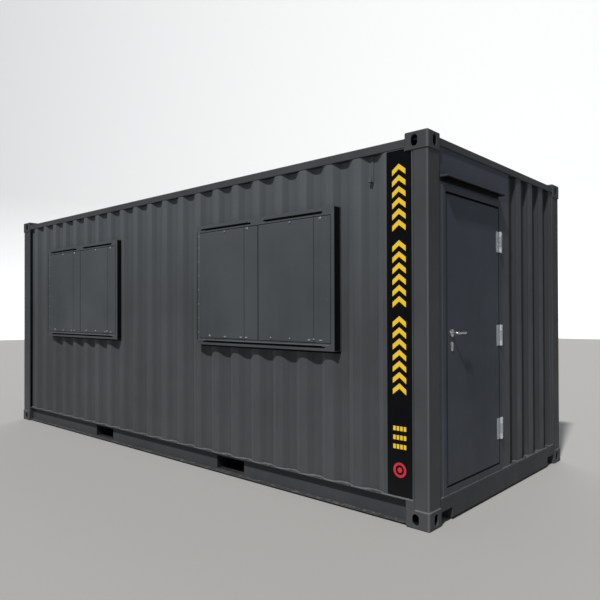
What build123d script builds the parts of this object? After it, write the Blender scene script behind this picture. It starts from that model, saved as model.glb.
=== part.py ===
from build123d import *
import os

# Twenty-foot steel shipping container converted to a lockable cabin, in millimetres.
# +Z is up, +X is the door end and -Y is the window side. The origin is on the ground,
# in the middle of the four bottom corner castings.

# Overall size
length = 6058.0
width = 2438.0
height = 2591.0
skin_recess = 6.0
overrun = 20.0

# Corner castings with a lifting slot and two lashing holes each
casting_length = 178.0
casting_width = 162.0
casting_height = 118.0
casting_plate = 28.0
casting_wall = 16.0
casting_bevel = 4.0
slot_inset_x = 102.5
slot_inset_y = 89.5
slot_length = 124.5
slot_width = 63.5
lash_hole_width = 51.0
lash_hole_height = 79.5

# Corner posts
door_post_depth = 114.0
blind_post_depth = 170.0
post_wall = 6.0
post_bend = 12.0

# Top rails
top_side_rail_drop = 36.0
top_side_rail_height = 62.0
top_end_rail_drop = 25.0
top_end_rail_height = 55.0
top_rail_depth = 60.0
top_rail_wall = 4.0
top_rail_bend = 8.0

# Bottom side rails, channels that open outwards
base_clearance = 14.0
bottom_rail_height = 162.0
bottom_rail_top_flange = 56.0
bottom_rail_low_flange = 46.0
bottom_rail_sheet = 4.5

# End sills with lashing notches beside the castings
sill_depth = 100.0
sill_wall = 5.0
sill_bend = 10.0
notch_width = 160.0
notch_height = 75.0
notch_depth = 70.0

# Floor, cross members and fork pockets
floor_thickness = 28.0
floor_drop = 4.0
member_height = 122.0
member_flange = 45.0
member_sheet = 4.0
member_pitch = 300.0
fork_spacing = 2100.0
fork_width = 355.0
fork_height = 115.0
fork_top_plate = 3.0
fork_tie_plate = 4.0
fork_tie_depth = 200.0

# Roof sheet with pressed cross ridges
roof_sheet = 2.0
roof_edge_inset = 12.0
roof_ridge_pitch = 209.0
roof_ridge_base = 125.0
roof_ridge_height = 20.0
roof_ridge_taper = 40.0
roof_ridge_margin = 90.0
roof_header_plate = 3.0

# Long side walls
wall_sheet = 2.0
wall_recess = 10.0
wall_pitch = 256.7
wall_crest = 62.0
wall_trough = 61.5
wall_depth = 36.0
wall_first_trough = 448.0

# End walls
end_recess = 16.0
end_pitch = 250.0
end_crest = 110.0
end_trough = 104.0
end_depth = 45.6
door_wall_shift = 42.0

# Windows with a steel box round each and two pressed shutter leaves
window_width = 1574.0
window_base = 1126.0
window_head_drop = 299.0
near_window_inset = 1526.0
far_window_inset = 1613.0
window_proud = 41.0
window_inner_lip = 6.0
window_head_face = 57.0
window_sill_face = 54.0
window_jamb_face = 30.0
window_sheet = 3.0
window_lip = 12.0
drain_slot_height = 15.0
drain_slot_end = 112.0
drain_slot_bridge = 170.0
drain_slot_edge = 29.0
sill_slot_edge = 22.0
shutter_sheet = 2.0
shutter_lap = 10.0
shutter_gap = 6.0
shutter_rim_gap = 1.0
swage_margin = 138.0
swage_height = 2.0
swage_taper = 70.0
pane_thickness = 6.0
pane_inset = 30.0

# Door and its frame
door_width = 838.0
door_thickness = 45.0
door_sheet = 2.0
door_gap = 7.0
door_head_gap = 12.0
header_height = 238.0
frame_face = 48.0
frame_depth = 90.0
frame_wall = 2.5
frame_bend = 5.0
frame_proud = 5.0
left_panel_width = 42.0
right_panel_width = 149.0
panel_sheet = 3.0
panel_return = 40.0
threshold_height = 52.0
stop_width = 20.0
stop_thickness = 12.0
stop_gap = 5.0
stop_joint = 0.5

# Rain canopy over the door
canopy_rise = 52.0
canopy_reach = 58.0
canopy_fall = 8.0
canopy_lip = 14.0
canopy_flange = 25.0
canopy_sheet = 2.5
canopy_left_overrun = 22.0
canopy_right_inset = 58.0

# Hinges
hinge_height = 160.0
hinge_end_knuckle = 40.0
hinge_radius = 11.0
hinge_pin_radius = 6.0
hinge_plate = 4.0
hinge_plate_width = 52.0
hinge_low_inset = 271.0
hinge_top_inset = 264.0
hinge_air = 0.5
hinge_clearance = 0.1
hinge_end_air = 1.0

# Lever handles and lock
lever_inset = 65.0
lever_height = 1031.0
lever_radius = 9.0
lever_reach = 52.0
lever_length = 108.0
lever_bend = 16.0
lever_tip_bevel = 2.0
lever_clearance = 0.3
rose_radius = 26.0
rose_thickness = 8.0
spindle_width = 8.0
spindle_hole_radius = 8.0
lock_drop = 84.0
lock_radius = 8.5
lock_lobe_width = 10.0
lock_height = 33.0
lock_proud = 9.0
lock_clearance = 0.2
escutcheon_width = 30.0
escutcheon_height = 64.0
escutcheon_thickness = 6.0

# Cable hook under the top rail
hook_inset = 462.0
hook_width = 24.0
hook_bar = 5.0
hook_drop = 185.0
hook_reach = 34.0
hook_upturn = 30.0

# Planes that several pieces share
half_length = length / 2
half_width = width / 2
skin_x = half_length - skin_recess
skin_y = half_width - skin_recess
post_x = half_length - casting_length
post_y = half_width - casting_width
post_top = height - casting_height
rail_top = height - top_side_rail_drop
rail_bottom = rail_top - top_side_rail_height
end_rail_bottom = height - top_end_rail_drop - top_end_rail_height
base_top = base_clearance + bottom_rail_height
rail_web_y = skin_y - bottom_rail_top_flange
floor_top = base_top - floor_drop
floor_bottom = floor_top - floor_thickness
fork_top = floor_bottom - fork_top_plate
fork_bottom = fork_top - fork_height
door_post_x = skin_x - door_post_depth
blind_post_x = skin_x - blind_post_depth
wall_y = half_width - wall_recess
trough_y = wall_y - wall_depth
end_x = half_length - end_recess
frame_x = end_x + frame_proud
frame_left = -post_y + left_panel_width
door_left = frame_left + frame_face + door_gap
door_right = door_left + door_width
frame_right = door_right + door_gap + frame_face
right_panel_edge = frame_right + right_panel_width
door_bottom = base_top + threshold_height + door_gap
frame_top = end_rail_bottom - header_height
door_top = frame_top - frame_face - door_head_gap
canopy_height = frame_top + canopy_rise
canopy_left = frame_left - canopy_left_overrun
canopy_right = frame_right - canopy_right_inset
door_inner_x = frame_x - door_thickness
hinge_x = frame_x + hinge_radius + hinge_air
hinge_y = door_right + door_gap / 2
slot_x = half_length - slot_inset_x
slot_y = half_width - slot_inset_y
window_centres = (half_length - near_window_inset, far_window_inset - half_length)
window_top = post_top - window_head_drop
window_front = -half_width - window_proud
window_back = -trough_y + wall_sheet + window_inner_lip


def block(x0, x1, y0, y1, z0, z1):
    middle = Pos((x0 + x1) / 2, (y0 + y1) / 2, (z0 + z1) / 2)
    return middle * Box(abs(x1 - x0), abs(y1 - y0), abs(z1 - z0))


def tube(start, across, along, wide, high, run, wall, bend):
    section = RectangleRounded(wide, high, bend)
    section -= RectangleRounded(wide - 2 * wall, high - 2 * wall, bend - wall)
    return extrude(Plane(start, x_dir=across, z_dir=along) * section, amount=run)


def on_both_sides(shape):
    return [shape, mirror(shape, about=Plane.XZ)]


def on_both_ends(shape):
    return [shape, mirror(shape, about=Plane.YZ)]


def at_four_corners(shape):
    return [copy for side in on_both_sides(shape) for copy in on_both_ends(side)]


def save(name, *shapes):
    solids = [solid for shape in shapes for solid in shape.solids()]
    whole = solids[0] if len(solids) == 1 else Compound(solids)
    export_step(whole, "parts/" + name + ".step")


def shifted_line(points, shift):
    # Mitred copy of a polyline, moved to its left by the shift.
    lines = [Vector(*b) - Vector(*a) for a, b in zip(points, points[1:])]
    normals = [Vector(-line.Y, line.X).normalized() for line in lines]
    before = normals[:1] + normals
    after = normals + normals[-1:]
    moved = []
    for point, first, second in zip(points, before, after):
        offset = (first + second) * (shift / (1 + first.dot(second)))
        moved.append((point[0] + offset.X, point[1] + offset.Y))
    return moved


def folded_sheet(points, thickness):
    # Cross section of a sheet with sharp folds that lies to the left of the points.
    far = reversed(shifted_line(points, thickness))
    return make_face(Polyline(*points, *far, close=True))


def bent_sheet(points, thickness, bend):
    # The same with round bends.
    near = FilletPolyline(*points, radius=bend)
    far = FilletPolyline(*shifted_line(points, thickness), radius=bend)
    ends = [Line(near @ 0, far @ 0), Line(near @ 1, far @ 1)]
    return make_face([*near.edges(), *far.edges(), *ends])


def corrugation(start, first_trough, last_run, pitch, crest, trough, depth):
    # Runs along the wall and depths below its crests, one trough for each pitch.
    slope = (pitch - crest - trough) / 2
    points = [(start, 0)]
    centre = first_trough
    while centre - pitch < last_run:
        low = centre - trough / 2
        high = centre + trough / 2
        points += [(low - slope, 0), (low, depth), (high, depth), (high + slope, 0)]
        centre += pitch
    points.append((centre, 0))
    return points


def clipped(section, x0, x1, y0, y1):
    window = Pos((x0 + x1) / 2, (y0 + y1) / 2) * Rectangle(abs(x1 - x0), abs(y1 - y0))
    return section & window


def upright(section, z0, z1):
    return extrude(Pos(0, 0, z0) * section, amount=z1 - z0)


# Corner castings

def corner_casting():
    body = block(post_x, half_length, post_y, half_width, 0, casting_height)
    top = body.faces().sort_by(Axis.Z)[-1]
    body = chamfer(body.edges() - top.edges(), casting_bevel)
    body -= block(
        post_x + casting_wall, half_length - casting_wall,
        post_y + casting_wall, half_width - casting_wall,
        casting_plate, casting_height - casting_wall,
    )
    middle = casting_height / 2
    slot = Pos(slot_x, slot_y) * SlotOverall(slot_length, slot_width)
    body -= extrude(slot, amount=middle)
    hole = SlotOverall(lash_hole_height, lash_hole_width)
    end_face = Plane((half_length, slot_y, middle), x_dir=(0, 0, 1), z_dir=(1, 0, 0))
    side_face = Plane((slot_x, half_width, middle), x_dir=(0, 0, 1), z_dir=(0, 1, 0))
    for face in (end_face, side_face):
        body -= extrude(face * hole, amount=-(casting_wall + overrun))
    return body


# Corner posts

def corner_post(depth):
    centre = (skin_x - depth / 2, (post_y + skin_y) / 2, casting_height)
    return tube(centre, (1, 0, 0), (0, 0, 1), depth, skin_y - post_y,
                post_top - casting_height, post_wall, post_bend)


def door_end_post():
    # A foot plate closes the bottom rail above the casting.
    foot = block(post_x, door_post_x + post_wall, skin_y - post_wall, skin_y,
                 casting_height, base_top - bottom_rail_sheet)
    return corner_post(door_post_depth) + foot


# Top and bottom rails and end sills

def top_side_rail():
    centre = (-post_x, skin_y - top_rail_depth / 2, rail_bottom + top_side_rail_height / 2)
    return tube(centre, (0, 1, 0), (1, 0, 0), top_rail_depth, top_side_rail_height,
                2 * post_x, top_rail_wall, top_rail_bend)


def top_end_rail():
    centre = (skin_x - top_rail_depth / 2, -post_y, end_rail_bottom + top_end_rail_height / 2)
    return tube(centre, (-1, 0, 0), (0, 1, 0), top_rail_depth, top_end_rail_height,
                2 * post_y, top_rail_wall, top_rail_bend)


def bottom_side_rail():
    web = block(-blind_post_x, door_post_x, rail_web_y, rail_web_y + bottom_rail_sheet,
                base_clearance, base_top)
    top = block(-blind_post_x, door_post_x, rail_web_y, skin_y,
                base_top - bottom_rail_sheet, base_top)
    low = block(-blind_post_x, door_post_x, rail_web_y, rail_web_y + bottom_rail_low_flange,
                base_clearance, base_clearance + bottom_rail_sheet)
    rail = web + top + low
    for end in (-1, 1):
        rail -= block(end * post_x, end * half_length, post_y, half_width, 0, casting_height)
        fork_x = end * fork_spacing / 2
        rail -= block(fork_x - fork_width / 2, fork_x + fork_width / 2,
                      rail_web_y - overrun, skin_y, fork_bottom, fork_top)
    return rail


def end_sill():
    middle_z = base_clearance + bottom_rail_height / 2
    centre = (skin_x - sill_depth / 2, -post_y, middle_z)
    sill = tube(centre, (-1, 0, 0), (0, 1, 0), sill_depth, bottom_rail_height,
                2 * post_y, sill_wall, sill_bend)
    notch_top = base_clearance + notch_height
    for side in (-1, 1):
        near = side * post_y
        far = side * (post_y - notch_width)
        sill += block(skin_x - sill_wall, skin_x - notch_depth - sill_wall, near,
                      far - side * sill_wall, base_clearance + sill_wall, notch_top + sill_wall)
        sill -= block(half_length, skin_x - notch_depth, near, far, 0, notch_top)
    return sill


# Floor structure

def cross_member(x, facing):
    web = block(x, x + facing * member_sheet, -rail_web_y, rail_web_y,
                floor_bottom - member_height, floor_bottom)
    flanges = []
    for z in (floor_bottom - member_height, floor_bottom - member_sheet):
        flanges.append(block(x, x + facing * member_flange, -rail_web_y, rail_web_y,
                             z, z + member_sheet))
    return web + flanges


def cross_members():
    reach = int((post_x - member_flange) // member_pitch)
    fork_zone = fork_width / 2 + 2 * member_flange
    members = []
    for step in range(-reach, reach + 1):
        x = step * member_pitch
        if abs(abs(x) - fork_spacing / 2) > fork_zone:
            members.append(cross_member(x, 1))
    for end in (-1, 1):
        for side in (-1, 1):
            members.append(cross_member(end * fork_spacing / 2 + side * fork_width / 2, side))
    return members


def fork_pocket_plates():
    plates = []
    for end in (-1, 1):
        x0 = end * fork_spacing / 2 - fork_width / 2
        x1 = x0 + fork_width
        plates.append(block(x0, x1, -rail_web_y, rail_web_y, fork_top, floor_bottom))
        for side in (-1, 1):
            plates.append(block(x0, x1, side * rail_web_y, side * (rail_web_y - fork_tie_depth),
                                fork_bottom - fork_tie_plate, fork_bottom))
    return plates


def plywood_floor():
    deck = block(-blind_post_x, door_post_x, -rail_web_y, rail_web_y, floor_bottom, floor_top)
    sill_x = skin_x - sill_depth
    return deck + block(-sill_x, sill_x, -post_y, post_y, floor_bottom, floor_top)


# Roof

def roof_panel():
    reach_y = skin_y - roof_edge_inset
    sheet = block(-post_x, post_x, -reach_y, reach_y, rail_top, rail_top + roof_sheet)
    ridge_base = Rectangle(roof_ridge_base, 2 * (reach_y - roof_ridge_margin))
    ridge = extrude(ridge_base, amount=roof_ridge_height, taper=roof_ridge_taper)
    count = int((2 * post_x - roof_ridge_margin) // roof_ridge_pitch)
    first = -(count - 1) * roof_ridge_pitch / 2
    places = [first + step * roof_ridge_pitch for step in range(count)]
    sheet += [Pos(x, 0, rail_top + roof_sheet) * ridge for x in places]
    sheet -= [Pos(x, 0, rail_top) * ridge for x in places]
    return sheet


def roof_header():
    return block(post_x, skin_x - top_rail_depth, -post_y, post_y,
                 rail_top, rail_top + roof_header_plate)


# Walls

def side_wall_section():
    runs = corrugation(0, wall_first_trough, length, wall_pitch, wall_crest, wall_trough, wall_depth)
    points = [(half_length - run, -wall_y + depth) for run, depth in runs]
    return folded_sheet(points, -wall_sheet)


def side_panel(section, x0, x1, z0, z1):
    # The top castings reach down past the panel's upper corners.
    panel = upright(clipped(section, x0, x1, -half_width, 0), z0, z1)
    for end in (-1, 1):
        panel -= block(end * post_x, end * half_length, -half_width, -post_y, post_top, height)
    return panel


def window_span(centre):
    return centre - window_width / 2, centre + window_width / 2


def end_wall_section(shift):
    first = half_width + end_pitch / 2 + shift
    while first > casting_width:
        first -= end_pitch
    start = first - end_pitch
    runs = corrugation(start, first, width, end_pitch, end_crest, end_trough, end_depth)
    points = [(end_x - depth, -half_width + run) for run, depth in runs]
    return folded_sheet(points, wall_sheet)


def end_panel(section, y0, y1):
    return upright(clipped(section, 0, half_length, y0, y1), base_top, end_rail_bottom)


# Door surround

def folded_upright(y0, y1, z0, z1):
    panel = block(end_x - panel_return, end_x, y0, y1, z0, z1)
    return panel - block(end_x - panel_return, end_x - panel_sheet,
                         y0 + panel_sheet, y1 - panel_sheet, z0, z1)


def header_panel():
    panel = block(end_x - panel_return, end_x, -post_y, right_panel_edge,
                  frame_top, end_rail_bottom)
    return panel - block(end_x - panel_return, end_x - panel_sheet, -post_y, right_panel_edge,
                         frame_top + panel_sheet, end_rail_bottom - panel_sheet)


def frame_jamb(y):
    centre = (frame_x - frame_depth / 2, y + frame_face / 2, base_top)
    return tube(centre, (1, 0, 0), (0, 0, 1), frame_depth, frame_face,
                frame_top - base_top, frame_wall, frame_bend)


def frame_cross_piece(z, rise):
    centre = (frame_x - frame_depth / 2, frame_left + frame_face, z + rise / 2)
    return tube(centre, (-1, 0, 0), (0, 1, 0), frame_depth, rise,
                door_width + 2 * door_gap, frame_wall, frame_bend)


def door_stops():
    face = door_inner_x - stop_gap
    back = face - stop_thickness
    left = frame_left + frame_face
    right = frame_right - frame_face
    bottom = base_top + threshold_height
    top = frame_top - frame_face
    return [
        block(back, face, left, left + stop_width, bottom, top),
        block(back, face, right - stop_width, right, bottom, top),
        block(back, face, left + stop_width + stop_joint, right - stop_width - stop_joint,
              top - stop_width, top),
    ]


def rain_canopy():
    points = [
        (end_x, canopy_height + canopy_flange),
        (end_x, canopy_height),
        (end_x + canopy_reach, canopy_height - canopy_fall),
        (end_x + canopy_reach, canopy_height - canopy_fall - canopy_lip),
    ]
    section = bent_sheet(points, canopy_sheet, canopy_sheet)
    cheek = make_face(Polyline(*points[1:], (end_x, points[-1][1]), close=True))
    plane = Plane((0, canopy_left, 0), x_dir=(1, 0, 0), z_dir=(0, -1, 0))
    run = canopy_right - canopy_left
    canopy = extrude(plane * section, amount=-run)
    canopy += extrude(plane * cheek, amount=-canopy_sheet)
    return canopy + extrude(plane.offset(canopy_sheet - run) * cheek, amount=-canopy_sheet)


# Window boxes and shutters

def drain_slot(x0, x1, z0):
    # A long slot with round ends through a window box's front flange.
    centre = ((x0 + x1) / 2, window_front, z0 + drain_slot_height / 2)
    plane = Plane(centre, x_dir=(1, 0, 0), z_dir=(0, -1, 0))
    return extrude(plane * SlotOverall(x1 - x0, drain_slot_height), amount=-window_sheet)


def window_head(x0, x1):
    lip_z = window_top - window_head_face
    head = block(x0, x1, window_front, window_back, window_top - window_sheet, window_top)
    head += block(x0, x1, window_front, window_front + window_sheet, lip_z, window_top)
    head += block(x0 + window_jamb_face, x1 - window_jamb_face, window_front,
                  window_front + window_lip, lip_z, lip_z + window_sheet)
    slot_z = window_top - drain_slot_edge - drain_slot_height
    middle = (x0 + x1) / 2
    head -= drain_slot(x0 + drain_slot_end, middle - drain_slot_bridge / 2, slot_z)
    return head - drain_slot(middle + drain_slot_bridge / 2, x1 - drain_slot_end, slot_z)


def window_sill(x0, x1):
    lip_z = window_base + window_sill_face
    sill = block(x0, x1, window_front, window_back, window_base, window_base + window_sheet)
    sill += block(x0, x1, window_front, window_front + window_sheet, window_base, lip_z)
    sill += block(x0 + window_jamb_face, x1 - window_jamb_face, window_front,
                  window_front + window_lip, lip_z - window_sheet, lip_z)
    return sill - drain_slot(x0 + drain_slot_end, x1 - drain_slot_end, window_base + sill_slot_edge)


def window_jamb(x, inwards):
    low = window_base + window_sill_face
    high = window_top - window_head_face
    inner = x + inwards * window_jamb_face
    side = block(x, x + inwards * window_sheet, window_front + window_sheet, window_back,
                 window_base + window_sheet, window_top - window_sheet)
    front = block(x, inner, window_front, window_front + window_sheet, low, high)
    lip = block(inner, inner - inwards * window_sheet, window_front, window_front + window_lip,
                low, high)
    return side + front + lip


def shutter(x0, x1, seam_side):
    # A pressed pan: its rim lies behind the box's lips and its field comes forward to their
    # face, with a groove round it and a shallow swage over most of its width.
    rim_y = window_front + window_lip
    z0 = window_base + window_sill_face
    z1 = window_top - window_head_face
    rims = [x0 - shutter_lap, x1 + shutter_lap]
    fields = [x0 + shutter_gap, x1 - shutter_gap]
    rims[seam_side] = (x0, x1)[seam_side] + (1 - 2 * seam_side) * shutter_rim_gap
    pan = block(*rims, rim_y, rim_y + shutter_sheet, z0 - shutter_lap, z1 + shutter_lap)
    pan += block(*fields, window_front, rim_y, z0 + shutter_gap, z1 - shutter_gap)
    pan -= block(fields[0] + shutter_sheet, fields[1] - shutter_sheet,
                 window_front + shutter_sheet, rim_y + shutter_sheet,
                 z0 + shutter_gap + shutter_sheet, z1 - shutter_gap - shutter_sheet)
    swage_width = x1 - x0 - 2 * swage_margin
    centre = ((x0 + x1) / 2, window_front, (z0 + z1) / 2)
    plane = Plane(centre, x_dir=(1, 0, 0), z_dir=(0, -1, 0))
    field = Rectangle(swage_width, z1 - z0 - 2 * shutter_gap)
    pan += extrude(plane * field, amount=swage_height, taper=swage_taper)
    hollow = plane.offset(-shutter_sheet)
    return pan - extrude(hollow * field, amount=swage_height, taper=swage_taper)


def shutter_pair(x0, x1):
    left = x0 + window_jamb_face
    right = x1 - window_jamb_face
    seam = (x0 + x1) / 2
    return shutter(left, seam, 1), shutter(seam, right, 0)


def window_pane(x0, x1):
    y = window_back - pane_inset
    return block(x0 + window_sheet, x1 - window_sheet, y - pane_thickness, y,
                 window_base + window_sheet, window_top - window_sheet)


# Door leaf, hinges, levers and lock

lever_y = door_left + lever_inset
lever_z = door_bottom + lever_height
lock_z = lever_z - lock_drop


def lock_profile(clearance):
    drop = lock_height - lock_radius - lock_lobe_width / 2
    lobe = Pos(-drop / 2, 0) * SlotCenterToCenter(drop, lock_lobe_width + 2 * clearance)
    return Circle(lock_radius + clearance) + lobe


def lock_plane(x):
    return Plane((x, lever_y, lock_z), x_dir=(0, 0, 1), z_dir=(1, 0, 0))


def drilled(leaf):
    spindle_plane = Plane((frame_x, lever_y, lever_z), x_dir=(0, 0, 1), z_dir=(1, 0, 0))
    leaf -= extrude(spindle_plane * Circle(spindle_hole_radius), amount=-2 * door_thickness)
    return leaf - extrude(lock_plane(frame_x) * lock_profile(lock_clearance),
                          amount=-2 * door_thickness)


def door_outer_skin():
    rim_x = door_inner_x + door_sheet
    tray = block(rim_x, frame_x, door_left, door_right, door_bottom, door_top)
    tray -= block(rim_x, frame_x - door_sheet, door_left + door_sheet, door_right - door_sheet,
                  door_bottom + door_sheet, door_top - door_sheet)
    return drilled(tray)


def door_inner_skin():
    return drilled(block(door_inner_x, door_inner_x + door_sheet, door_left, door_right,
                         door_bottom, door_top))


def hinge_heights():
    low = door_bottom + hinge_low_inset
    high = door_top - hinge_top_inset
    return low, (low + high) / 2, high


def hinge_barrel(z0, z1, radius):
    return Pos(hinge_x, hinge_y, (z0 + z1) / 2) * Cylinder(radius, z1 - z0)


def hinge_wing(side, z0, z1, root):
    return block(frame_x, frame_x + hinge_plate, hinge_y + side * root,
                 hinge_y + side * hinge_plate_width, z0, z1)


def hinge_frame_leaf(z):
    z0 = z - hinge_height / 2
    z1 = z + hinge_height / 2
    low = z0 + hinge_end_knuckle
    high = z1 - hinge_end_knuckle
    clear = hinge_radius + 2 * hinge_end_air
    leaf = hinge_wing(1, z0, z1, clear) + hinge_barrel(z0, z1, hinge_pin_radius)
    for bottom, top in ((z0, low), (high, z1)):
        leaf += hinge_wing(1, bottom, top, door_gap / 2)
        leaf += hinge_barrel(bottom, top, hinge_radius)
    return leaf


def hinge_door_leaf(z):
    z0 = z - hinge_height / 2
    z1 = z + hinge_height / 2
    low = z0 + hinge_end_knuckle + hinge_end_air
    high = z1 - hinge_end_knuckle - hinge_end_air
    clear = hinge_radius + 2 * hinge_end_air
    leaf = hinge_wing(-1, z0, z1, clear) + hinge_wing(-1, low, high, door_gap / 2)
    leaf += hinge_barrel(low, high, hinge_radius)
    return leaf - hinge_barrel(low, high, hinge_pin_radius + hinge_clearance)


def lever(base_x, outwards):
    # A round bar: neck, quarter bend and grip.
    neck_end = lever_reach - lever_bend
    neck_plane = Plane((base_x, lever_y, lever_z), z_dir=(outwards, 0, 0))
    bar = extrude(neck_plane * Circle(lever_radius), amount=neck_end)
    bend_x = base_x + outwards * neck_end
    bend_axis = Axis((bend_x, lever_y + lever_bend, lever_z), (0, 0, outwards))
    bar += revolve(neck_plane.offset(neck_end) * Circle(lever_radius), bend_axis, 90)
    grip_start = (base_x + outwards * lever_reach, lever_y + lever_bend, lever_z)
    grip = extrude(Plane(grip_start, z_dir=(0, 1, 0)) * Circle(lever_radius),
                   amount=lever_length - lever_bend)
    tip = grip.faces().sort_by(Axis.Y)[-1]
    return bar + chamfer(tip.edges(), lever_tip_bevel)


def outer_lever():
    base = frame_x + lever_clearance
    far = door_inner_x - lever_clearance
    half = spindle_width / 2
    spindle = block(far, base, lever_y - half, lever_y + half, lever_z - half, lever_z + half)
    return lever(base, 1) + spindle


def lever_roses():
    roses = []
    for x, outwards in ((frame_x, 1), (door_inner_x, -1)):
        plane = Plane((x, lever_y, lever_z), z_dir=(outwards, 0, 0))
        ring = Circle(rose_radius) - Circle(lever_radius + lever_clearance)
        roses.append(extrude(plane * ring, amount=rose_thickness))
    return roses


def lock_escutcheons():
    plate = SlotOverall(escutcheon_height, escutcheon_width)
    shift = (lock_height / 2 - lock_radius)
    outline = Pos(-shift, 0) * plate - lock_profile(lock_clearance)
    return [
        extrude(lock_plane(frame_x) * outline, amount=escutcheon_thickness),
        extrude(lock_plane(door_inner_x) * outline, amount=-escutcheon_thickness),
    ]


def lock_cylinder():
    return extrude(lock_plane(frame_x + lock_proud) * lock_profile(0),
                   amount=-(door_thickness + 2 * lock_proud))


# Cable hook

def cable_hook():
    foot = rail_bottom - hook_drop
    points = [
        (-trough_y, rail_bottom),
        (-trough_y, foot),
        (-trough_y - hook_reach, foot),
        (-trough_y - hook_reach, foot + hook_upturn),
    ]
    section = bent_sheet(points, -hook_bar, hook_bar)
    x = half_length - hook_inset - hook_width / 2
    plane = Plane((x, 0, 0), x_dir=(0, 1, 0), z_dir=(1, 0, 0))
    return extrude(plane * section, amount=hook_width)


def save_frame():
    casting = corner_casting()
    top_casting = mirror(casting, about=Plane((0, 0, height / 2)))
    save("bottom_corner_castings", *at_four_corners(casting))
    save("top_corner_castings", *at_four_corners(top_casting))
    right_post, left_post = on_both_sides(door_end_post())
    save("door_end_post_left", left_post)
    save("door_end_post_right", right_post)
    back_post, front_post = on_both_sides(mirror(corner_post(blind_post_depth), about=Plane.YZ))
    save("blind_end_post_front", front_post)
    save("blind_end_post_back", back_post)
    back_rail, front_rail = on_both_sides(top_side_rail())
    save("top_side_rail_front", front_rail)
    save("top_side_rail_back", back_rail)
    back_rail, front_rail = on_both_sides(bottom_side_rail())
    save("bottom_side_rail_front", front_rail)
    save("bottom_side_rail_back", back_rail)
    save("top_end_rails", *on_both_ends(top_end_rail()))
    save("end_sills", *on_both_ends(end_sill()))
    save("floor_cross_members", *cross_members())
    save("fork_pocket_plates", *fork_pocket_plates())
    save("plywood_floor", plywood_floor())
    save("roof_panel", roof_panel())
    save("roof_header_plates", *on_both_ends(roof_header()))


def save_walls():
    section = side_wall_section()
    back = side_panel(section, -blind_post_x, door_post_x, base_top, rail_bottom)
    save("back_wall", mirror(back, about=Plane.XZ))
    near, far = (window_span(centre) for centre in window_centres)
    full_height = (("front_wall_door_end", near[1], door_post_x),
                   ("front_wall_middle", far[1], near[0]),
                   ("front_wall_blind_end", -blind_post_x, far[0]))
    for name, x0, x1 in full_height:
        save(name, side_panel(section, x0, x1, base_top, rail_bottom))
    save("front_wall_over_windows",
         *[side_panel(section, *span, window_top, rail_bottom) for span in (near, far)])
    save("front_wall_under_windows",
         *[side_panel(section, *span, base_top, window_base) for span in (near, far)])
    blind_wall = end_panel(end_wall_section(0), -post_y, post_y)
    save("blind_end_wall", mirror(blind_wall, about=Plane.YZ))
    save("door_end_wall", end_panel(end_wall_section(door_wall_shift), right_panel_edge, post_y))


def save_windows():
    spans = [window_span(centre) for centre in window_centres]
    save("window_heads", *[window_head(*span) for span in spans])
    save("window_sills", *[window_sill(*span) for span in spans])
    jambs = [window_jamb(x, way) for span in spans for x, way in zip(span, (1, -1))]
    save("window_jambs", *jambs)
    pairs = [shutter_pair(*span) for span in spans]
    save("left_shutters", *[left for left, right in pairs])
    save("right_shutters", *[right for left, right in pairs])
    save("window_panes", *[window_pane(*span) for span in spans])


def save_door():
    save("door_header_panel", header_panel())
    save("door_side_panels", folded_upright(-post_y, frame_left, base_top, frame_top),
         folded_upright(frame_right, right_panel_edge, base_top, frame_top))
    save("door_frame_jambs", frame_jamb(frame_left), frame_jamb(frame_right - frame_face))
    save("door_frame_head", frame_cross_piece(frame_top - frame_face, frame_face))
    save("door_threshold", frame_cross_piece(base_top, threshold_height))
    save("door_stops", *door_stops())
    save("rain_canopy", rain_canopy())
    save("hinge_frame_leaves", *[hinge_frame_leaf(z) for z in hinge_heights()])
    save("hinge_door_leaves", *[hinge_door_leaf(z) for z in hinge_heights()])
    save("door_outer_skin", door_outer_skin())
    save("door_inner_skin", door_inner_skin())
    save("lever_roses", *lever_roses())
    save("lock_escutcheons", *lock_escutcheons())
    save("lock_cylinder", lock_cylinder())
    save("outer_lever", outer_lever())
    save("inner_lever", lever(door_inner_x - lever_clearance, -1))
    save("cable_hook", cable_hook())


os.makedirs("parts", exist_ok=True)
save_frame()
save_walls()
save_windows()
save_door()
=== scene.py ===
import math
import bmesh
import bpy
from mathutils import Matrix, Vector


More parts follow.
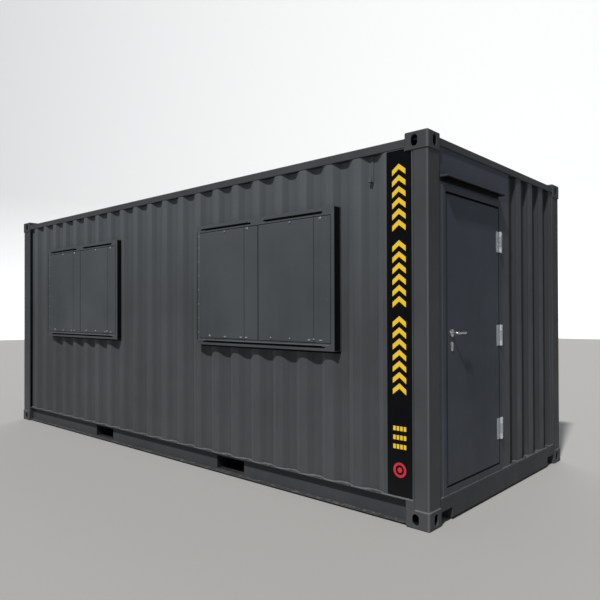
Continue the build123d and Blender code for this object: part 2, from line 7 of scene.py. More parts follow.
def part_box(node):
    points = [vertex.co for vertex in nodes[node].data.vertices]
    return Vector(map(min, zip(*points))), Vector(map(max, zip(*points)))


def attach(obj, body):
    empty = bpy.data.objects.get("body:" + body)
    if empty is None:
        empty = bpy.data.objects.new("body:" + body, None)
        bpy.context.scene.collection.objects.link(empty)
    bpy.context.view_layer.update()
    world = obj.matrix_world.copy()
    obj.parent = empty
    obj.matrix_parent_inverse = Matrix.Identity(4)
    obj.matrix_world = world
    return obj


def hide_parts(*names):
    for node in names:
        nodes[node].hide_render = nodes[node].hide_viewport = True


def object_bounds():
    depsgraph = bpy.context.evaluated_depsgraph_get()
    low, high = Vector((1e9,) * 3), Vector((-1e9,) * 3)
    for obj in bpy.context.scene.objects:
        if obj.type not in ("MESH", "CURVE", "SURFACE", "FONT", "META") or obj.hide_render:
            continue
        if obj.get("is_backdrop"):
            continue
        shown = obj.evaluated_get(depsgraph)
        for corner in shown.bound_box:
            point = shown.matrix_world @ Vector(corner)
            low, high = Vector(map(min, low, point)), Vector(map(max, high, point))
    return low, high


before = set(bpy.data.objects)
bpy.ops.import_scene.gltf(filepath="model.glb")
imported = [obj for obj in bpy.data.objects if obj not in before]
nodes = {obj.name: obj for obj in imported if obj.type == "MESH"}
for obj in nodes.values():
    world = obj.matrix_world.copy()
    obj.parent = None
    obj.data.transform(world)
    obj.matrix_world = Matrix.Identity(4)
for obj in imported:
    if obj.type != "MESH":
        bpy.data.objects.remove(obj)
cadLow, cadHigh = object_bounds()  # the solids' own box, before anything is dressed
print("frame loaded:", len(nodes), "nodes")


# Small helpers that every stage uses
def placed(name, data):
    holder = bpy.data.objects.new(name, data)
    bpy.context.scene.collection.objects.link(holder)
    return holder


def meshObject(bm, name, material):
    mesh = bpy.data.meshes.new(name)
    bm.to_mesh(mesh)
    bm.free()
    mesh.materials.append(material)
    mesh.shade_smooth()
    return placed(name, mesh)


def preset(node, values):
    for key, value in values.items():
        node.inputs[key].default_value = value


# Camera, set where the picture was taken from
cameraSetup = dict(
    place=(4.9345, -4.5537, 1.4156),
    yaw=0.83628,
    pitch=0.00781,
    roll=-0.00262,
    focalPixels=587.8,
    centreRow=306.79,
    imagePixels=600,
    sensorWidth=36.0,
)


def addCamera(setup):
    yaw, pitch, roll = setup["yaw"], setup["pitch"], setup["roll"]
    level = math.cos(pitch)
    ahead = Vector((-math.cos(yaw) * level, math.sin(yaw) * level, math.sin(pitch)))
    side = ahead.cross(Vector((0, 0, 1))).normalized()
    up = side.cross(ahead)
    turnedSide = side * math.cos(roll) + up * math.sin(roll)
    turnedUp = up * math.cos(roll) - side * math.sin(roll)
    turn = Matrix((turnedSide, turnedUp, -ahead)).transposed().to_4x4()
    data = bpy.data.cameras.new("photoCamera")
    data.sensor_width = setup["sensorWidth"]
    data.lens = setup["focalPixels"] * setup["sensorWidth"] / setup["imagePixels"]
    data.shift_y = (setup["centreRow"] - setup["imagePixels"] / 2) / setup["imagePixels"]
    camera = placed("photoCamera", data)
    camera.matrix_world = Matrix.Translation(setup["place"]) @ turn
    bpy.context.scene.camera = camera


# Soft light: one high lamp behind the camera, a broad weak one for the far sides and an even sky
lightSetup = dict(
    lamps=dict(
        highLamp=dict(towards=(0.165, -0.61, 0.775), strength=3.3, spreadDegrees=3.0,
                      colour=(1.0, 0.985, 0.96)),
        backLamp=dict(towards=(-0.50, 0.72, 0.48), strength=1.0, spreadDegrees=60.0,
                      colour=(0.94, 0.97, 1.0)),
    ),
    skyColour=(0.85, 0.925, 1.0),
    skyStrength=0.20,
)
stageSetup = dict(
    floorColour=(0.423, 0.414, 0.405),
    backdropColour=(0.82, 0.83, 0.84),
    backdropGlow=0.22,
    roughness=0.9,
    specular=0.1,
    floorReach=120.0,
    backdropRadius=36.0,
    backdropHeight=40.0,
    backdropFoot=0.002,
    coveRadius=9.0,
    coveSteps=16,
    turnSteps=96,
)


def addLight(setup):
    for name, look in setup["lamps"].items():
        lamp = bpy.data.lights.new(name, "SUN")
        lamp.energy = look["strength"]
        lamp.angle = math.radians(look["spreadDegrees"])
        lamp.color = look["colour"]
        holder = placed(name, lamp)
        holder.rotation_mode = "QUATERNION"
        holder.rotation_quaternion = Vector(look["towards"]).to_track_quat("Z", "Y")
    world = bpy.data.worlds.new("evenSky")
    bpy.context.scene.world = world
    world.use_nodes = True
    tree = world.node_tree
    tree.nodes.clear()
    sky = tree.nodes.new("ShaderNodeBackground")
    preset(sky, {"Color": (*setup["skyColour"], 1), "Strength": setup["skyStrength"]})
    out = tree.nodes.new("ShaderNodeOutputWorld")
    tree.links.new(sky.outputs["Background"], out.inputs["Surface"])


def stagePiece(bm, name, colour, glow=0.0):
    material = bpy.data.materials.new(name)
    material.use_nodes = True
    preset(material.node_tree.nodes["Principled BSDF"], {
        "Base Color": (*colour, 1),
        "Roughness": stageSetup["roughness"],
        "Specular IOR Level": stageSetup["specular"],
        "Emission Color": (*colour, 1),
        "Emission Strength": glow,
    })
    piece = meshObject(bm, name, material)
    piece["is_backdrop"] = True
    return piece


def addStage(setup):
    bm = bmesh.new()
    bmesh.ops.create_grid(bm, x_segments=1, y_segments=1, size=setup["floorReach"])
    stagePiece(bm, "studioFloor", setup["floorColour"])
    # a pale wall far round the object, curved up from the floor
    bm = bmesh.new()
    radius, foot, reach = setup["coveRadius"], setup["backdropFoot"], setup["backdropRadius"]
    bend = bm.verts.new((reach - radius, 0, foot))
    bmesh.ops.spin(bm, geom=[bend], cent=(reach - radius, 0, foot + radius), axis=(0, -1, 0),
                   angle=math.pi / 2, steps=setup["coveSteps"])
    top = max(bm.verts, key=lambda vert: vert.co.z)
    bm.edges.new((top, bm.verts.new((reach, 0, setup["backdropHeight"]))))
    bmesh.ops.spin(bm, geom=bm.verts[:] + bm.edges[:], cent=(0, 0, 0), axis=(0, 0, 1),
                   angle=2 * math.pi, steps=setup["turnSteps"], use_merge=True)
    bmesh.ops.recalc_face_normals(bm, faces=bm.faces[:])
    backdrop = stagePiece(bm, "studioBackdrop", setup["backdropColour"], setup["backdropGlow"])
    backdrop.visible_shadow = False  # the lamps shine through it, and only the camera sees it
    backdrop.visible_diffuse = False
    backdrop.visible_glossy = False


addCamera(cameraSetup)
addLight(lightSetup)
addStage(stageSetup)
bpy.context.scene.view_settings.view_transform = "Standard"
print("camera, light and floor set")


# A material with the nodes it is mixed from
class Finish:
    def __init__(self, name):
        self.material = bpy.data.materials.new(name)
        self.material.use_nodes = True
        self.tree = self.material.node_tree
        self.surface = self.tree.nodes["Principled BSDF"]
        self.place = self.add("ShaderNodeTexCoord").outputs["Object"]

    def add(self, kind, **settings):
        node = self.tree.nodes.new(kind)
        for key, value in settings.items():
            setattr(node, key, value)
        return node

    def link(self, source, target):
        self.tree.links.new(source, target)

    def put(self, socket, value):
        if isinstance(value, bpy.types.NodeSocket):
            self.link(value, socket)
        elif isinstance(value, tuple) and len(value) == 3 and socket.type == "RGBA":
            socket.default_value = (*value, 1)
        else:
            socket.default_value = value

    def stretched(self, scale):
        mapping = self.add("ShaderNodeMapping")
        preset(mapping, {"Scale": scale})
        self.link(self.place, mapping.inputs["Vector"])
        return mapping.outputs["Vector"]

    def noise(self, scale, detail=2.0, roughness=0.5, stretch=None, distortion=0.0):
        node = self.add("ShaderNodeTexNoise")
        self.link(self.stretched(stretch) if stretch else self.place, node.inputs["Vector"])
        preset(node, {"Scale": scale, "Detail": detail, "Roughness": roughness, "Distortion": distortion})
        return node.outputs["Fac"]

    def ranged(self, value, fromLow, fromHigh, toLow=0.0, toHigh=1.0):
        node = self.add("ShaderNodeMapRange")
        self.link(value, node.inputs["Value"])
        preset(node, {"From Min": fromLow, "From Max": fromHigh, "To Min": toLow, "To Max": toHigh})
        return node.outputs["Result"]

    def pattern(self, low, high, to=(0.0, 1.0), **noise):
        return self.ranged(self.noise(**noise), low, high, *to)

    def math(self, operation, first, second=0.0, clamp=False):
        node = self.add("ShaderNodeMath", operation=operation, use_clamp=clamp)
        self.put(node.inputs[0], first)
        self.put(node.inputs[1], second)
        return node.outputs["Value"]

    def times(self, first, second):
        return self.math("MULTIPLY", first, second)

    def blend(self, share, first, second):
        node = self.add("ShaderNodeMix", data_type="RGBA")
        self.put(node.inputs["Factor"], share)
        self.put(node.inputs["A"], first)
        self.put(node.inputs["B"], second)
        return node.outputs["Result"]

    def axes(self):
        node = self.add("ShaderNodeSeparateXYZ")
        self.link(self.place, node.inputs["Vector"])
        return node.outputs

    def facing(self):
        shape = self.add("ShaderNodeNewGeometry")
        node = self.add("ShaderNodeSeparateXYZ")
        self.link(shape.outputs["Normal"], node.inputs["Vector"])
        return node.outputs

    def bump(self, height, strength, distance, below=None):
        node = self.add("ShaderNodeBump")
        preset(node, {"Strength": strength, "Distance": distance})
        self.link(height, node.inputs["Height"])
        if below is not None:
            self.link(below, node.inputs["Normal"])
        return node.outputs["Normal"]

    def done(self, colour, roughness, normal=None, metallic=None, specular=None):
        sockets = self.surface.inputs
        self.put(sockets["Base Color"], colour)
        self.put(sockets["Roughness"], roughness)
        if normal is not None:
            self.link(normal, sockets["Normal"])
        if metallic is not None:
            sockets["Metallic"].default_value = metallic
        if specular is not None:
            sockets["Specular IOR Level"].default_value = specular
        return self.material


def tinted(share, colour):
    return tuple(share * value for value in colour)


# Anthracite paint, washed by rain and dusty at the foot, with painted light: a painted sky reflection
# towards the top, painted shade in troughs, below and in hollows, and painted highlights on edges and
# slopes
paintLooks = dict(
    container=dict(colour=(0.0612, 0.0663, 0.0714), dustTop=0.60, dustShare=0.10, topDust=0.30,
                   wave=0.35, paintedSkyReflection=(1.50, 2.28, 0.49), troughs=(1.207, 1.176, 0.20),
                   slopeLightShares=("X", 1.9, 0.80)),
    frame=dict(colour=(0.0545, 0.0590, 0.0635), dustTop=0.60, dustShare=0.14, topDust=0.34, wave=0.15),
    lowRail=dict(colour=(0.0440, 0.0490, 0.0545), dustTop=0.50, dustShare=0.10, topDust=0.72, wave=0.15),
    shutter=dict(colour=(0.0585, 0.0650, 0.0705), dustTop=0.0, dustShare=0.0, topDust=0.25, wave=0.30,
                 paintedSkyReflection=(1.60, 2.25, 0.22)),
    # painted light: the end walls take a lighter copy of the side wall paint as if lit, and their slopes
    # facing -Y are painted darker as shade
    endWall=dict(colour=(0.0680, 0.0738, 0.0820), dustTop=0.75, dustShare=0.24, topDust=0.30, wave=0.35,
                 slopeLightShares=("Y", 0.42, 1.0)),
    door=dict(colour=(0.0495, 0.0580, 0.0735), dustTop=1.00, dustShare=0.26, topDust=0.20, wave=0.12,
              paintedSkyReflection=(1.70, 2.35, 0.15)),
    # painted shade: the canopy's downward faces and everything below its edge height are painted black
    canopy=dict(colour=(0.0480, 0.0545, 0.0640), dustTop=0.0, dustShare=0.0, topDust=0.45, wave=0.15,
                undersideShadeShare=1.0, undersideShadeStart=0.25, paintedShadeBelow=2.309),
    # painted shade: the shutter creases are painted darker than the shutters
    creaseShade=dict(colour=(0.032, 0.036, 0.041), dustTop=0.0, dustShare=0.0, topDust=0.1, wave=0.10),
    bead=dict(colour=(0.106, 0.111, 0.115), dustTop=0.60, dustShare=0.15, topDust=0.15, wave=0.30),
    casting=dict(colour=(0.0545, 0.0590, 0.0635), dustTop=0.60, dustShare=0.14, topDust=0.34, wave=0.15,
                 hollow=((2.851, 3.029), (1.057, 1.219), (0.0, 0.118))),
)
paintCommon = dict(
    lighter=1.16,
    darker=0.86,
    cloud=dict(scale=1.3, detail=4.0, roughness=0.55, low=0.34, high=0.66),
    streak=dict(scale=1.0, detail=4.0, roughness=0.6, stretch=(17, 17, 0.7), low=0.42, high=0.72),
    streakShare=0.35,
    skyReflectionTint=(1.92, 2.0, 2.08),
    troughShadeTint=0.62,
    slopeStart=0.25,
    slopeEnd=0.60,
    slopeShare=0.8,
    sharpStep=0.001,
    dustColour=(0.190, 0.178, 0.162),
    speck=dict(scale=38.0, detail=5.0, roughness=0.65, low=0.50, high=0.75),
    topFacing=(0.55, 0.98),
    topGain=2,
    lowPower=1.8,
    patch=dict(scale=6.0, detail=5.0, roughness=0.6, stretch=(1, 1, 0.45), low=0.30, high=0.72),
    patchShare=0.75,
    speckShare=0.35,
    gloss=dict(scale=3.2, detail=4.0, roughness=0.6, low=0.3, high=0.7, to=(0.50, 0.64)),
    dustRoughness=0.5,
    specular=0.13,
    edgeRadius=0.006,
    edgeSamples=4,
    edgeTurn=(0.985, 0.86),
    edgeGlintShare=0.30,
    edgeGlintTint=1.9,
    worn=dict(scale=23.0, detail=6.0, roughness=0.7, low=0.56, high=0.66),
    chipColour=(0.11, 0.085, 0.07),
    cornerStart=(3.012, 1.202),
    cornerWidth=0.005,
    cornerGlintShare=0.30,
    cornerGlintTint=3.4,
    paintedShadeColour=(0.006, 0.007, 0.009),
    undersideShadeShare=0.75,
    undersideShadeStart=0.55,
    undersideShadeReach=0.4,
    roofHeight=2.591,
    hollowNear=(0.003, 0.006),
    hollowFar=(0.004, 0.009),
    returnShadeColour=(0.003, 0.0036, 0.0046),
    peel=dict(scale=420.0, detail=1.0),
    peelBump=(0.06, 0.0006),
    waves=dict(scale=2.6, detail=2.0, roughness=0.4, stretch=(1, 1, 0.6)),
    waveHeight=0.012,
)


def tintWithPaintedLight(finish, look, colour):
    # the plain paint with its clouds and streaks, and painted light: a sky reflection towards the top,
    # shade in the troughs, glints and shade on the slopes, and black shade below an edge
    common = paintCommon
    lighter = tinted(common["lighter"], colour)
    tint = finish.blend(finish.pattern(**common["cloud"]), tinted(common["darker"], colour), lighter)
    streak = finish.pattern(**common["streak"])
    tint = finish.blend(finish.times(streak, common["streakShare"]), tint, lighter)
    if "paintedSkyReflection" in look:  # painted sky reflection: the paint turns paler and bluer towards the roof
        start, end, share = look["paintedSkyReflection"]
        skyReflection = finish.ranged(finish.axes()["Z"], start, end, 0.0, share)
        reflectedColour = tuple(more * value for more, value in zip(common["skyReflectionTint"], colour))
        tint = finish.blend(skyReflection, tint, reflectedColour)
    if "troughs" in look:  # painted shade: the paint is darker deeper in the troughs than on the crests
        crestY, troughY, share = look["troughs"]
        depth = finish.math("ABSOLUTE", finish.axes()["Y"])
        troughShade = finish.ranged(depth, crestY, troughY, 0.0, share)
        tint = finish.blend(troughShade, tint, tinted(common["troughShadeTint"], colour))
    if "slopeLightShares" in look:  # painted light: the slopes facing one way along the axis and those facing the other way each take their own share of the colour, painted paler as a glint or darker as shade
        axis, before, behind = look["slopeLightShares"]
        side = finish.facing()[axis]
        for sign, share in ((-1, before), (1, behind)):
            slope = finish.ranged(side, sign * common["slopeStart"], sign * common["slopeEnd"],
                                  0.0, common["slopeShare"])
            tint = finish.blend(slope, tint, tinted(share, colour))
    # painted shade: below this height the paint is painted black
    if "paintedShadeBelow" in look:
        edge = look["paintedShadeBelow"]
        black = finish.ranged(finish.axes()["Z"], edge, edge - common["sharpStep"])
        tint = finish.blend(black, tint, common["paintedShadeColour"])
    return tint


def dustShare(finish, look):
    # dust on the faces that look up, and splashed up from the ground
    common = paintCommon
    speck = finish.pattern(**common["speck"])
    up = finish.ranged(finish.facing()["Z"], *common["topFacing"])
    dust = finish.times(up, finish.times(speck, look["topDust"] * common["topGain"]))
    if look["dustTop"] > 0:
        low = finish.ranged(finish.axes()["Z"], look["dustTop"], 0.0)
        low = finish.math("POWER", low, common["lowPower"])
        patch = finish.math("ADD", finish.times(finish.pattern(**common["patch"]), common["patchShare"]),
                            finish.times(speck, common["speckShare"]))
        low = finish.times(low, finish.times(patch, look["dustShare"]))
        dust = finish.math("MAXIMUM", dust, low, clamp=True)
    return dust


def edgeWearAndGlints(finish, tint, colour, chipsAndCornerGlints):
    common = paintCommon
    softened = finish.add("ShaderNodeBevel", samples=common["edgeSamples"])
    preset(softened, {"Radius": common["edgeRadius"]})
    shape = finish.add("ShaderNodeNewGeometry")
    dot = finish.add("ShaderNodeVectorMath", operation="DOT_PRODUCT")
    finish.link(softened.outputs["Normal"], dot.inputs[0])
    finish.link(shape.outputs["Normal"], dot.inputs[1])
    edge = finish.ranged(dot.outputs["Value"], *common["edgeTurn"])
    # painted highlight: the edges found by the bevel are painted lighter
    tint = finish.blend(finish.times(edge, common["edgeGlintShare"]), tint, tinted(common["edgeGlintTint"], colour))
    if chipsAndCornerGlints:  # bare spots along the edges, and a painted highlight down the four upright corners
        worn = finish.pattern(**common["worn"])
        tint = finish.blend(finish.times(edge, worn), tint, common["chipColour"])
        place = finish.axes()
        spans = []
        for axis, start in zip("XY", common["cornerStart"]):
            reach = finish.math("ABSOLUTE", place[axis])
            spans.append(finish.ranged(reach, start, start + common["cornerWidth"]))
        corner = finish.times(finish.times(*spans), common["cornerGlintShare"])
        tint = finish.blend(corner, tint, tinted(common["cornerGlintTint"], colour))
    return tint


def hollowShare(finish, look):
    # painted shade: the insides of the castings are painted near black
    place = finish.axes()
    roof = finish.math("SUBTRACT", paintCommon["roofHeight"], place["Z"])
    depths = (finish.math("ABSOLUTE", place["X"]), finish.math("ABSOLUTE", place["Y"]),
              finish.math("MINIMUM", place["Z"], roof))
    nearStart, nearEnd = paintCommon["hollowNear"]
    farStart, farEnd = paintCommon["hollowFar"]
    inside = None
    for depth, (near, far) in zip(depths, look["hollow"]):
        span = finish.times(finish.ranged(depth, near + nearStart, near + nearEnd),
                            finish.ranged(depth, far - farStart, far - farEnd))
        inside = span if inside is None else finish.times(inside, span)
    return inside


def paintFinish(name, look, chipsAndCornerGlints=False, edgeGlints=False, shadeBetween=None):
    finish = Finish(name)
    common, colour = paintCommon, look["colour"]
    tint = tintWithPaintedLight(finish, look, colour)
    dust = dustShare(finish, look)
    tint = finish.blend(dust, tint, common["dustColour"])
    rough = finish.pattern(**common["gloss"])
    rough = finish.math("ADD", rough, finish.times(dust, common["dustRoughness"]), clamp=True)
    if chipsAndCornerGlints or edgeGlints:
        tint = edgeWearAndGlints(finish, tint, colour, chipsAndCornerGlints)
    undersideShadeStart = look.get("undersideShadeStart", common["undersideShadeStart"])  # painted shade: faces that look down are painted near black over any dust or sky reflection
    under = finish.ranged(finish.facing()["Z"], -undersideShadeStart, -undersideShadeStart - common["undersideShadeReach"])
    under = finish.times(under, look.get("undersideShadeShare", common["undersideShadeShare"]))
    tint = finish.blend(under, tint, common["paintedShadeColour"])
    if "hollow" in look:
        tint = finish.blend(hollowShare(finish, look), tint, common["paintedShadeColour"])
    if shadeBetween is not None:  # painted shade: the box's deep returns are painted near black
        front, back = shadeBetween
        depth, step = finish.axes()["Y"], common["sharpStep"]
        behind = finish.times(finish.ranged(depth, front, front + step),
                              finish.ranged(depth, back + step, back))
        tint = finish.blend(behind, tint, common["returnShadeColour"])
    peel = finish.bump(finish.noise(**common["peel"]), *common["peelBump"])
    waves = finish.bump(finish.noise(**common["waves"]), look["wave"], common["waveHeight"], peel)
    return finish.done(tint, rough, waves, specular=common["specular"])


# Zinc with its spangle, for hinges and fixings
zincLook = dict(
    cellScale=160.0,
    stain=dict(scale=26.0, detail=4.0, low=0.52, high=0.74),
    stainShare=0.4,
    stainTint=0.6,
    rough=(0.34, 0.52),
    grain=dict(scale=300.0, detail=2.0),
    grainBump=(0.08, 0.0004),
    metallic=0.65,
)


def zincFinish(name, dark, light):
    finish = Finish(name)
    cells = finish.add("ShaderNodeTexVoronoi")
    preset(cells, {"Scale": zincLook["cellScale"]})
    finish.link(finish.place, cells.inputs["Vector"])
    grey = finish.add("ShaderNodeSeparateColor")
    finish.link(cells.outputs["Color"], grey.inputs["Color"])
    spangle = finish.ranged(grey.outputs["Red"], 0.0, 1.0)
    stain = finish.times(finish.pattern(**zincLook["stain"]), zincLook["stainShare"])
    tint = finish.blend(stain, finish.blend(spangle, dark, light), tinted(zincLook["stainTint"], dark))
    rough = finish.ranged(spangle, 0.0, 1.0, *zincLook["rough"])
    normal = finish.bump(finish.noise(**zincLook["grain"]), *zincLook["grainBump"])
    return finish.done(tint, rough, normal, metallic=zincLook["metallic"])


# Brushed steel of the lever and the lock, the black coat under the floor, and the black rubber of the
# strips that stand in for shade
steelLook = dict(
    grain=dict(scale=1.0, detail=3.0, roughness=0.6, stretch=(900, 30, 900)),
    dark=(0.50, 0.50, 0.49),
    light=(0.66, 0.66, 0.65),
    lightRange=(0.35, 0.65),
    roughRange=(0.3, 0.7, 0.22, 0.36),
    grainBump=(0.05, 0.0003),
    metallic=0.95,
)
undersealLook = dict(
    grain=dict(scale=55.0, detail=5.0, roughness=0.65),
    dark=(0.016, 0.016, 0.017),
    light=(0.034, 0.033, 0.033),
    lightRange=(0.4, 0.7),
    dust=dict(scale=3.0, detail=5.0, roughness=0.6, low=0.52, high=0.80),
    dustColour=(0.12, 0.105, 0.09),
    dustShare=0.4,
    roughRange=(0.3, 0.7, 0.62, 0.85),
    grainBump=(0.35, 0.002),
    specular=0.3,
)
rubberLook = dict(
    grain=dict(scale=420.0, detail=2.0),
    bloom=dict(scale=14.0, detail=4.0, low=0.4, high=0.75),
    roughRange=(0.3, 0.7, 0.68, 0.86),
    grainBump=(0.15, 0.0005),
)
shadeStripColours = dict(dark=(0.0030, 0.0031, 0.0035), light=(0.0085, 0.0084, 0.0084), specular=0.10)
slotShadeColours = dict(dark=(0.0012, 0.0013, 0.0016), light=(0.0030, 0.0030, 0.0034), specular=0.03)


def grainFinish(name, look):
    # sheen and bumps follow one grain, and so does the colour unless it has a bloom of its own
    finish = Finish(name)
    grain = finish.noise(**look["grain"])
    if "bloom" in look:
        share = finish.pattern(**look["bloom"])
    else:
        share = finish.ranged(grain, *look["lightRange"])
    tint = finish.blend(share, look["dark"], look["light"])
    if "dust" in look:
        dust = finish.times(finish.pattern(**look["dust"]), look["dustShare"])
        tint = finish.blend(dust, tint, look["dustColour"])
    rough = finish.ranged(grain, *look["roughRange"])
    normal = finish.bump(grain, *look["grainBump"])
    return finish.done(tint, rough, normal, look.get("metallic"), look.get("specular"))


# Floor boards with a joint every 1.2 metres
plywoodLook = dict(
    ring=dict(scale=1.0, detail=6.0, roughness=0.6, stretch=(1.6, 26, 26), distortion=0.6,
              low=0.32, high=0.68),
    fine=dict(scale=1.0, detail=3.0, roughness=0.6, stretch=(12, 420, 420)),
    dark=(0.20, 0.115, 0.058),
    light=(0.40, 0.26, 0.145),
    fineColour=(0.13, 0.075, 0.04),
    fineRange=(0.45, 0.75),
    fineShare=0.35,
    halfBoard=0.6,
    jointRange=(0.0035, 0.002),
    jointColour=(0.02, 0.014, 0.009),
    scuff=dict(scale=4.0, detail=5.0, roughness=0.65, low=0.48, high=0.75),
    scuffColour=(0.22, 0.19, 0.16),
    scuffShare=0.4,
    roughRange=(0.3, 0.7, 0.48, 0.68),
    fineBump=(0.12, 0.0006),
    specular=0.35,
)


def plywoodFinish():
    finish, look = Finish("plywood"), plywoodLook
    fine = finish.noise(**look["fine"])
    tint = finish.blend(finish.pattern(**look["ring"]), look["dark"], look["light"])
    thin = finish.times(finish.ranged(fine, *look["fineRange"]), look["fineShare"])
    tint = finish.blend(thin, tint, look["fineColour"])
    along = finish.math("PINGPONG", finish.axes()["X"], look["halfBoard"])
    tint = finish.blend(finish.ranged(along, *look["jointRange"]), tint, look["jointColour"])
    scuff = finish.times(finish.pattern(**look["scuff"]), look["scuffShare"])
    tint = finish.blend(scuff, tint, look["scuffColour"])
    rough = finish.ranged(fine, *look["roughRange"])
    return finish.done(tint, rough, finish.bump(fine, *look["fineBump"]), specular=look["specular"])


# Panes behind the shutters
glassLook = dict(
    smear=dict(scale=5.0, detail=5.0, roughness=0.6, stretch=(1, 1, 0.5),
               low=0.35, high=0.75, to=(0.02, 0.12)),
    shade=dict(scale=9.0, detail=3.0, low=0.3, high=0.7),
    dark=(0.80, 0.87, 0.86),
    light=(0.88, 0.92, 0.91),
    bending=1.5,
)


def glassFinish():
    finish = Finish("windowGlass")
    preset(finish.surface, {"Transmission Weight": 1.0, "IOR": glassLook["bending"]})
    tint = finish.blend(finish.pattern(**glassLook["shade"]), glassLook["dark"], glassLook["light"])
    return finish.done(tint, finish.pattern(**glassLook["smear"]))


# Film of the strip beside the corner post
vinylLook = dict(
    scuff=dict(scale=1.0, detail=5.0, roughness=0.65, stretch=(60, 60, 9), low=0.50, high=0.78),
    scuffShare=0.5,
    dustRange=(0.7, 0.15),
    dustPower=2.0,
    dustShare=0.03,
    rough=(0.48, 0.66),
    grain=dict(scale=160.0, detail=2.0),
    grainBump=(0.05, 0.0005),
    specular=0.10,
)


def vinylFinish(name, colour, fade):
    finish, look = Finish(name), vinylLook
    scuff = finish.pattern(**look["scuff"])
    tint = finish.blend(finish.times(scuff, look["scuffShare"]), colour, fade)
    dust = finish.math("POWER", finish.ranged(finish.axes()["Z"], *look["dustRange"]), look["dustPower"])
    tint = finish.blend(finish.times(dust, look["dustShare"]), tint, paintCommon["dustColour"])
    rough = finish.ranged(scuff, 0.0, 1.0, *look["rough"])
    normal = finish.bump(finish.noise(**look["grain"]), *look["grainBump"])
    return finish.done(tint, rough, normal, specular=look["specular"])


jambReturn = dict(start=0.004, end=0.068)  # behind the front of the window boxes, where the returns are painted black as shade
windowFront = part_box("window_jambs")[0].y
wallPaint = paintFinish("wallPaint", paintLooks["container"])
endPaint = paintFinish("endWallPaint", paintLooks["endWall"])
framePaint = paintFinish("framePaint", paintLooks["frame"], chipsAndCornerGlints=True)
castingPaint = paintFinish("castingPaint", paintLooks["casting"], chipsAndCornerGlints=True)
lowRailPaint = paintFinish("lowRailPaint", paintLooks["lowRail"], chipsAndCornerGlints=True)
shutterPaint = paintFinish("shutterPaint", paintLooks["shutter"], edgeGlints=True)
doorPaint = paintFinish("doorPaint", paintLooks["door"])
canopyPaint = paintFinish("canopyPaint", paintLooks["canopy"])
jambPaint = paintFinish("windowJambPaint", paintLooks["shutter"], edgeGlints=True,
                        shadeBetween=(windowFront + jambReturn["start"],
                                      windowFront + jambReturn["end"]))
# painted light: the hinge leaves on the frame take a lighter zinc as if lit, and those on the door a
# darker copy as if shaded
litZinc = zincFinish("litZinc", dark=(0.62, 0.66, 0.70), light=(0.84, 0.88, 0.92))
shadedZinc = zincFinish("shadedZinc", dark=(0.36, 0.40, 0.44), light=(0.52, 0.57, 0.61))
dullZinc = zincFinish("dullZinc", dark=(0.36, 0.36, 0.355), light=(0.54, 0.54, 0.535))
satinSteel = grainFinish("satinSteel", steelLook)
plywood = plywoodFinish()
underseal = grainFinish("blackUnderseal", undersealLook)
# painted shade: black rubber strips stand in for shade in gaps, grooves and under ledges, and a blacker
# copy for the shade in the window box slots
shadeRubber = grainFinish("blackRubber", dict(rubberLook, **shadeStripColours))
slotShadeRubber = grainFinish("slotShadeRubber", dict(rubberLook, **slotShadeColours))
glass = glassFinish()
stripBlack = vinylFinish("stripBlack", colour=(0.0018, 0.0020, 0.0028), fade=(0.0070, 0.0072, 0.0085))
stripYellow = vinylFinish("stripYellow", colour=(0.86, 0.57, 0.035), fade=(0.62, 0.44, 0.09))
stripRed = vinylFinish("stripRed", colour=(0.55, 0.035, 0.045), fade=(0.40, 0.08, 0.07))
beadPaint = paintFinish("beadPaint", paintLooks["bead"])
creaseShadePaint = paintFinish("creaseShadePaint", paintLooks["creaseShade"])
print("finishes mixed:", len(bpy.data.materials))

# Each solid takes the finish of its kind
nodeFinishes = [
    (castingPaint, ["bottom_corner_castings", "top_corner_castings"]),
    (framePaint, ["door_end_post_left", "door_end_post_right", "blind_end_post_front",
                  "blind_end_post_back", "top_side_rail_front", "top_side_rail_back", "top_end_rails"]),
    (lowRailPaint, ["bottom_side_rail_front", "bottom_side_rail_back", "end_sills"]),
    (wallPaint, ["roof_panel", "roof_header_plates", "back_wall", "front_wall_door_end",
                 "front_wall_middle", "front_wall_blind_end", "front_wall_over_windows",
                 "front_wall_under_windows", "cable_hook"]),
    (endPaint, ["door_end_wall", "blind_end_wall", "door_side_panels"]),
    (canopyPaint, ["rain_canopy"]),
    (doorPaint, ["door_header_panel", "door_frame_jambs", "door_frame_head", "door_threshold",
                 "door_stops", "door_outer_skin", "door_inner_skin"]),
    (shutterPaint, ["window_heads", "window_sills", "left_shutters", "right_shutters"]),
    (jambPaint, ["window_jambs"]),
    (underseal, ["floor_cross_members", "fork_pocket_plates"]),
    (plywood, ["plywood_floor"]),
    (glass, ["window_panes"]),
    (litZinc, ["hinge_frame_leaves"]),
    (shadedZinc, ["hinge_door_leaves"]),
    (satinSteel, ["lever_roses", "lock_escutcheons", "lock_cylinder", "outer_lever", "inner_lever"]),
]
for material, names in nodeFinishes:
    for name in names:
        nodes[name].data.materials.clear()
        nodes[name].data.materials.append(material)
print("solids finished")

# Making pieces
making = dict(smoothDegrees=34, barSteps=2)


def addPiece(bm, name, material, body="container", stands=(),
             smoothDegrees=making["smoothDegrees"]):
    piece = meshObject(bm, name, material)
    piece.data.set_sharp_from_angle(angle=math.radians(smoothDegrees))
    if stands:
        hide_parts(*stands)
    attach(piece, body)
    return piece


def evenShading(piece):
    even = piece.modifiers.new("evenShading", "WEIGHTED_NORMAL")
    even.keep_sharp = True


def outline(bm, points):
    corners = [bm.verts.new(point) for point in points]
    return [bm.edges.new(pair) for pair in zip(corners, corners[1:] + corners[:1])]


def kept(items, kind):
    return [item for item in items if isinstance(item, kind)]


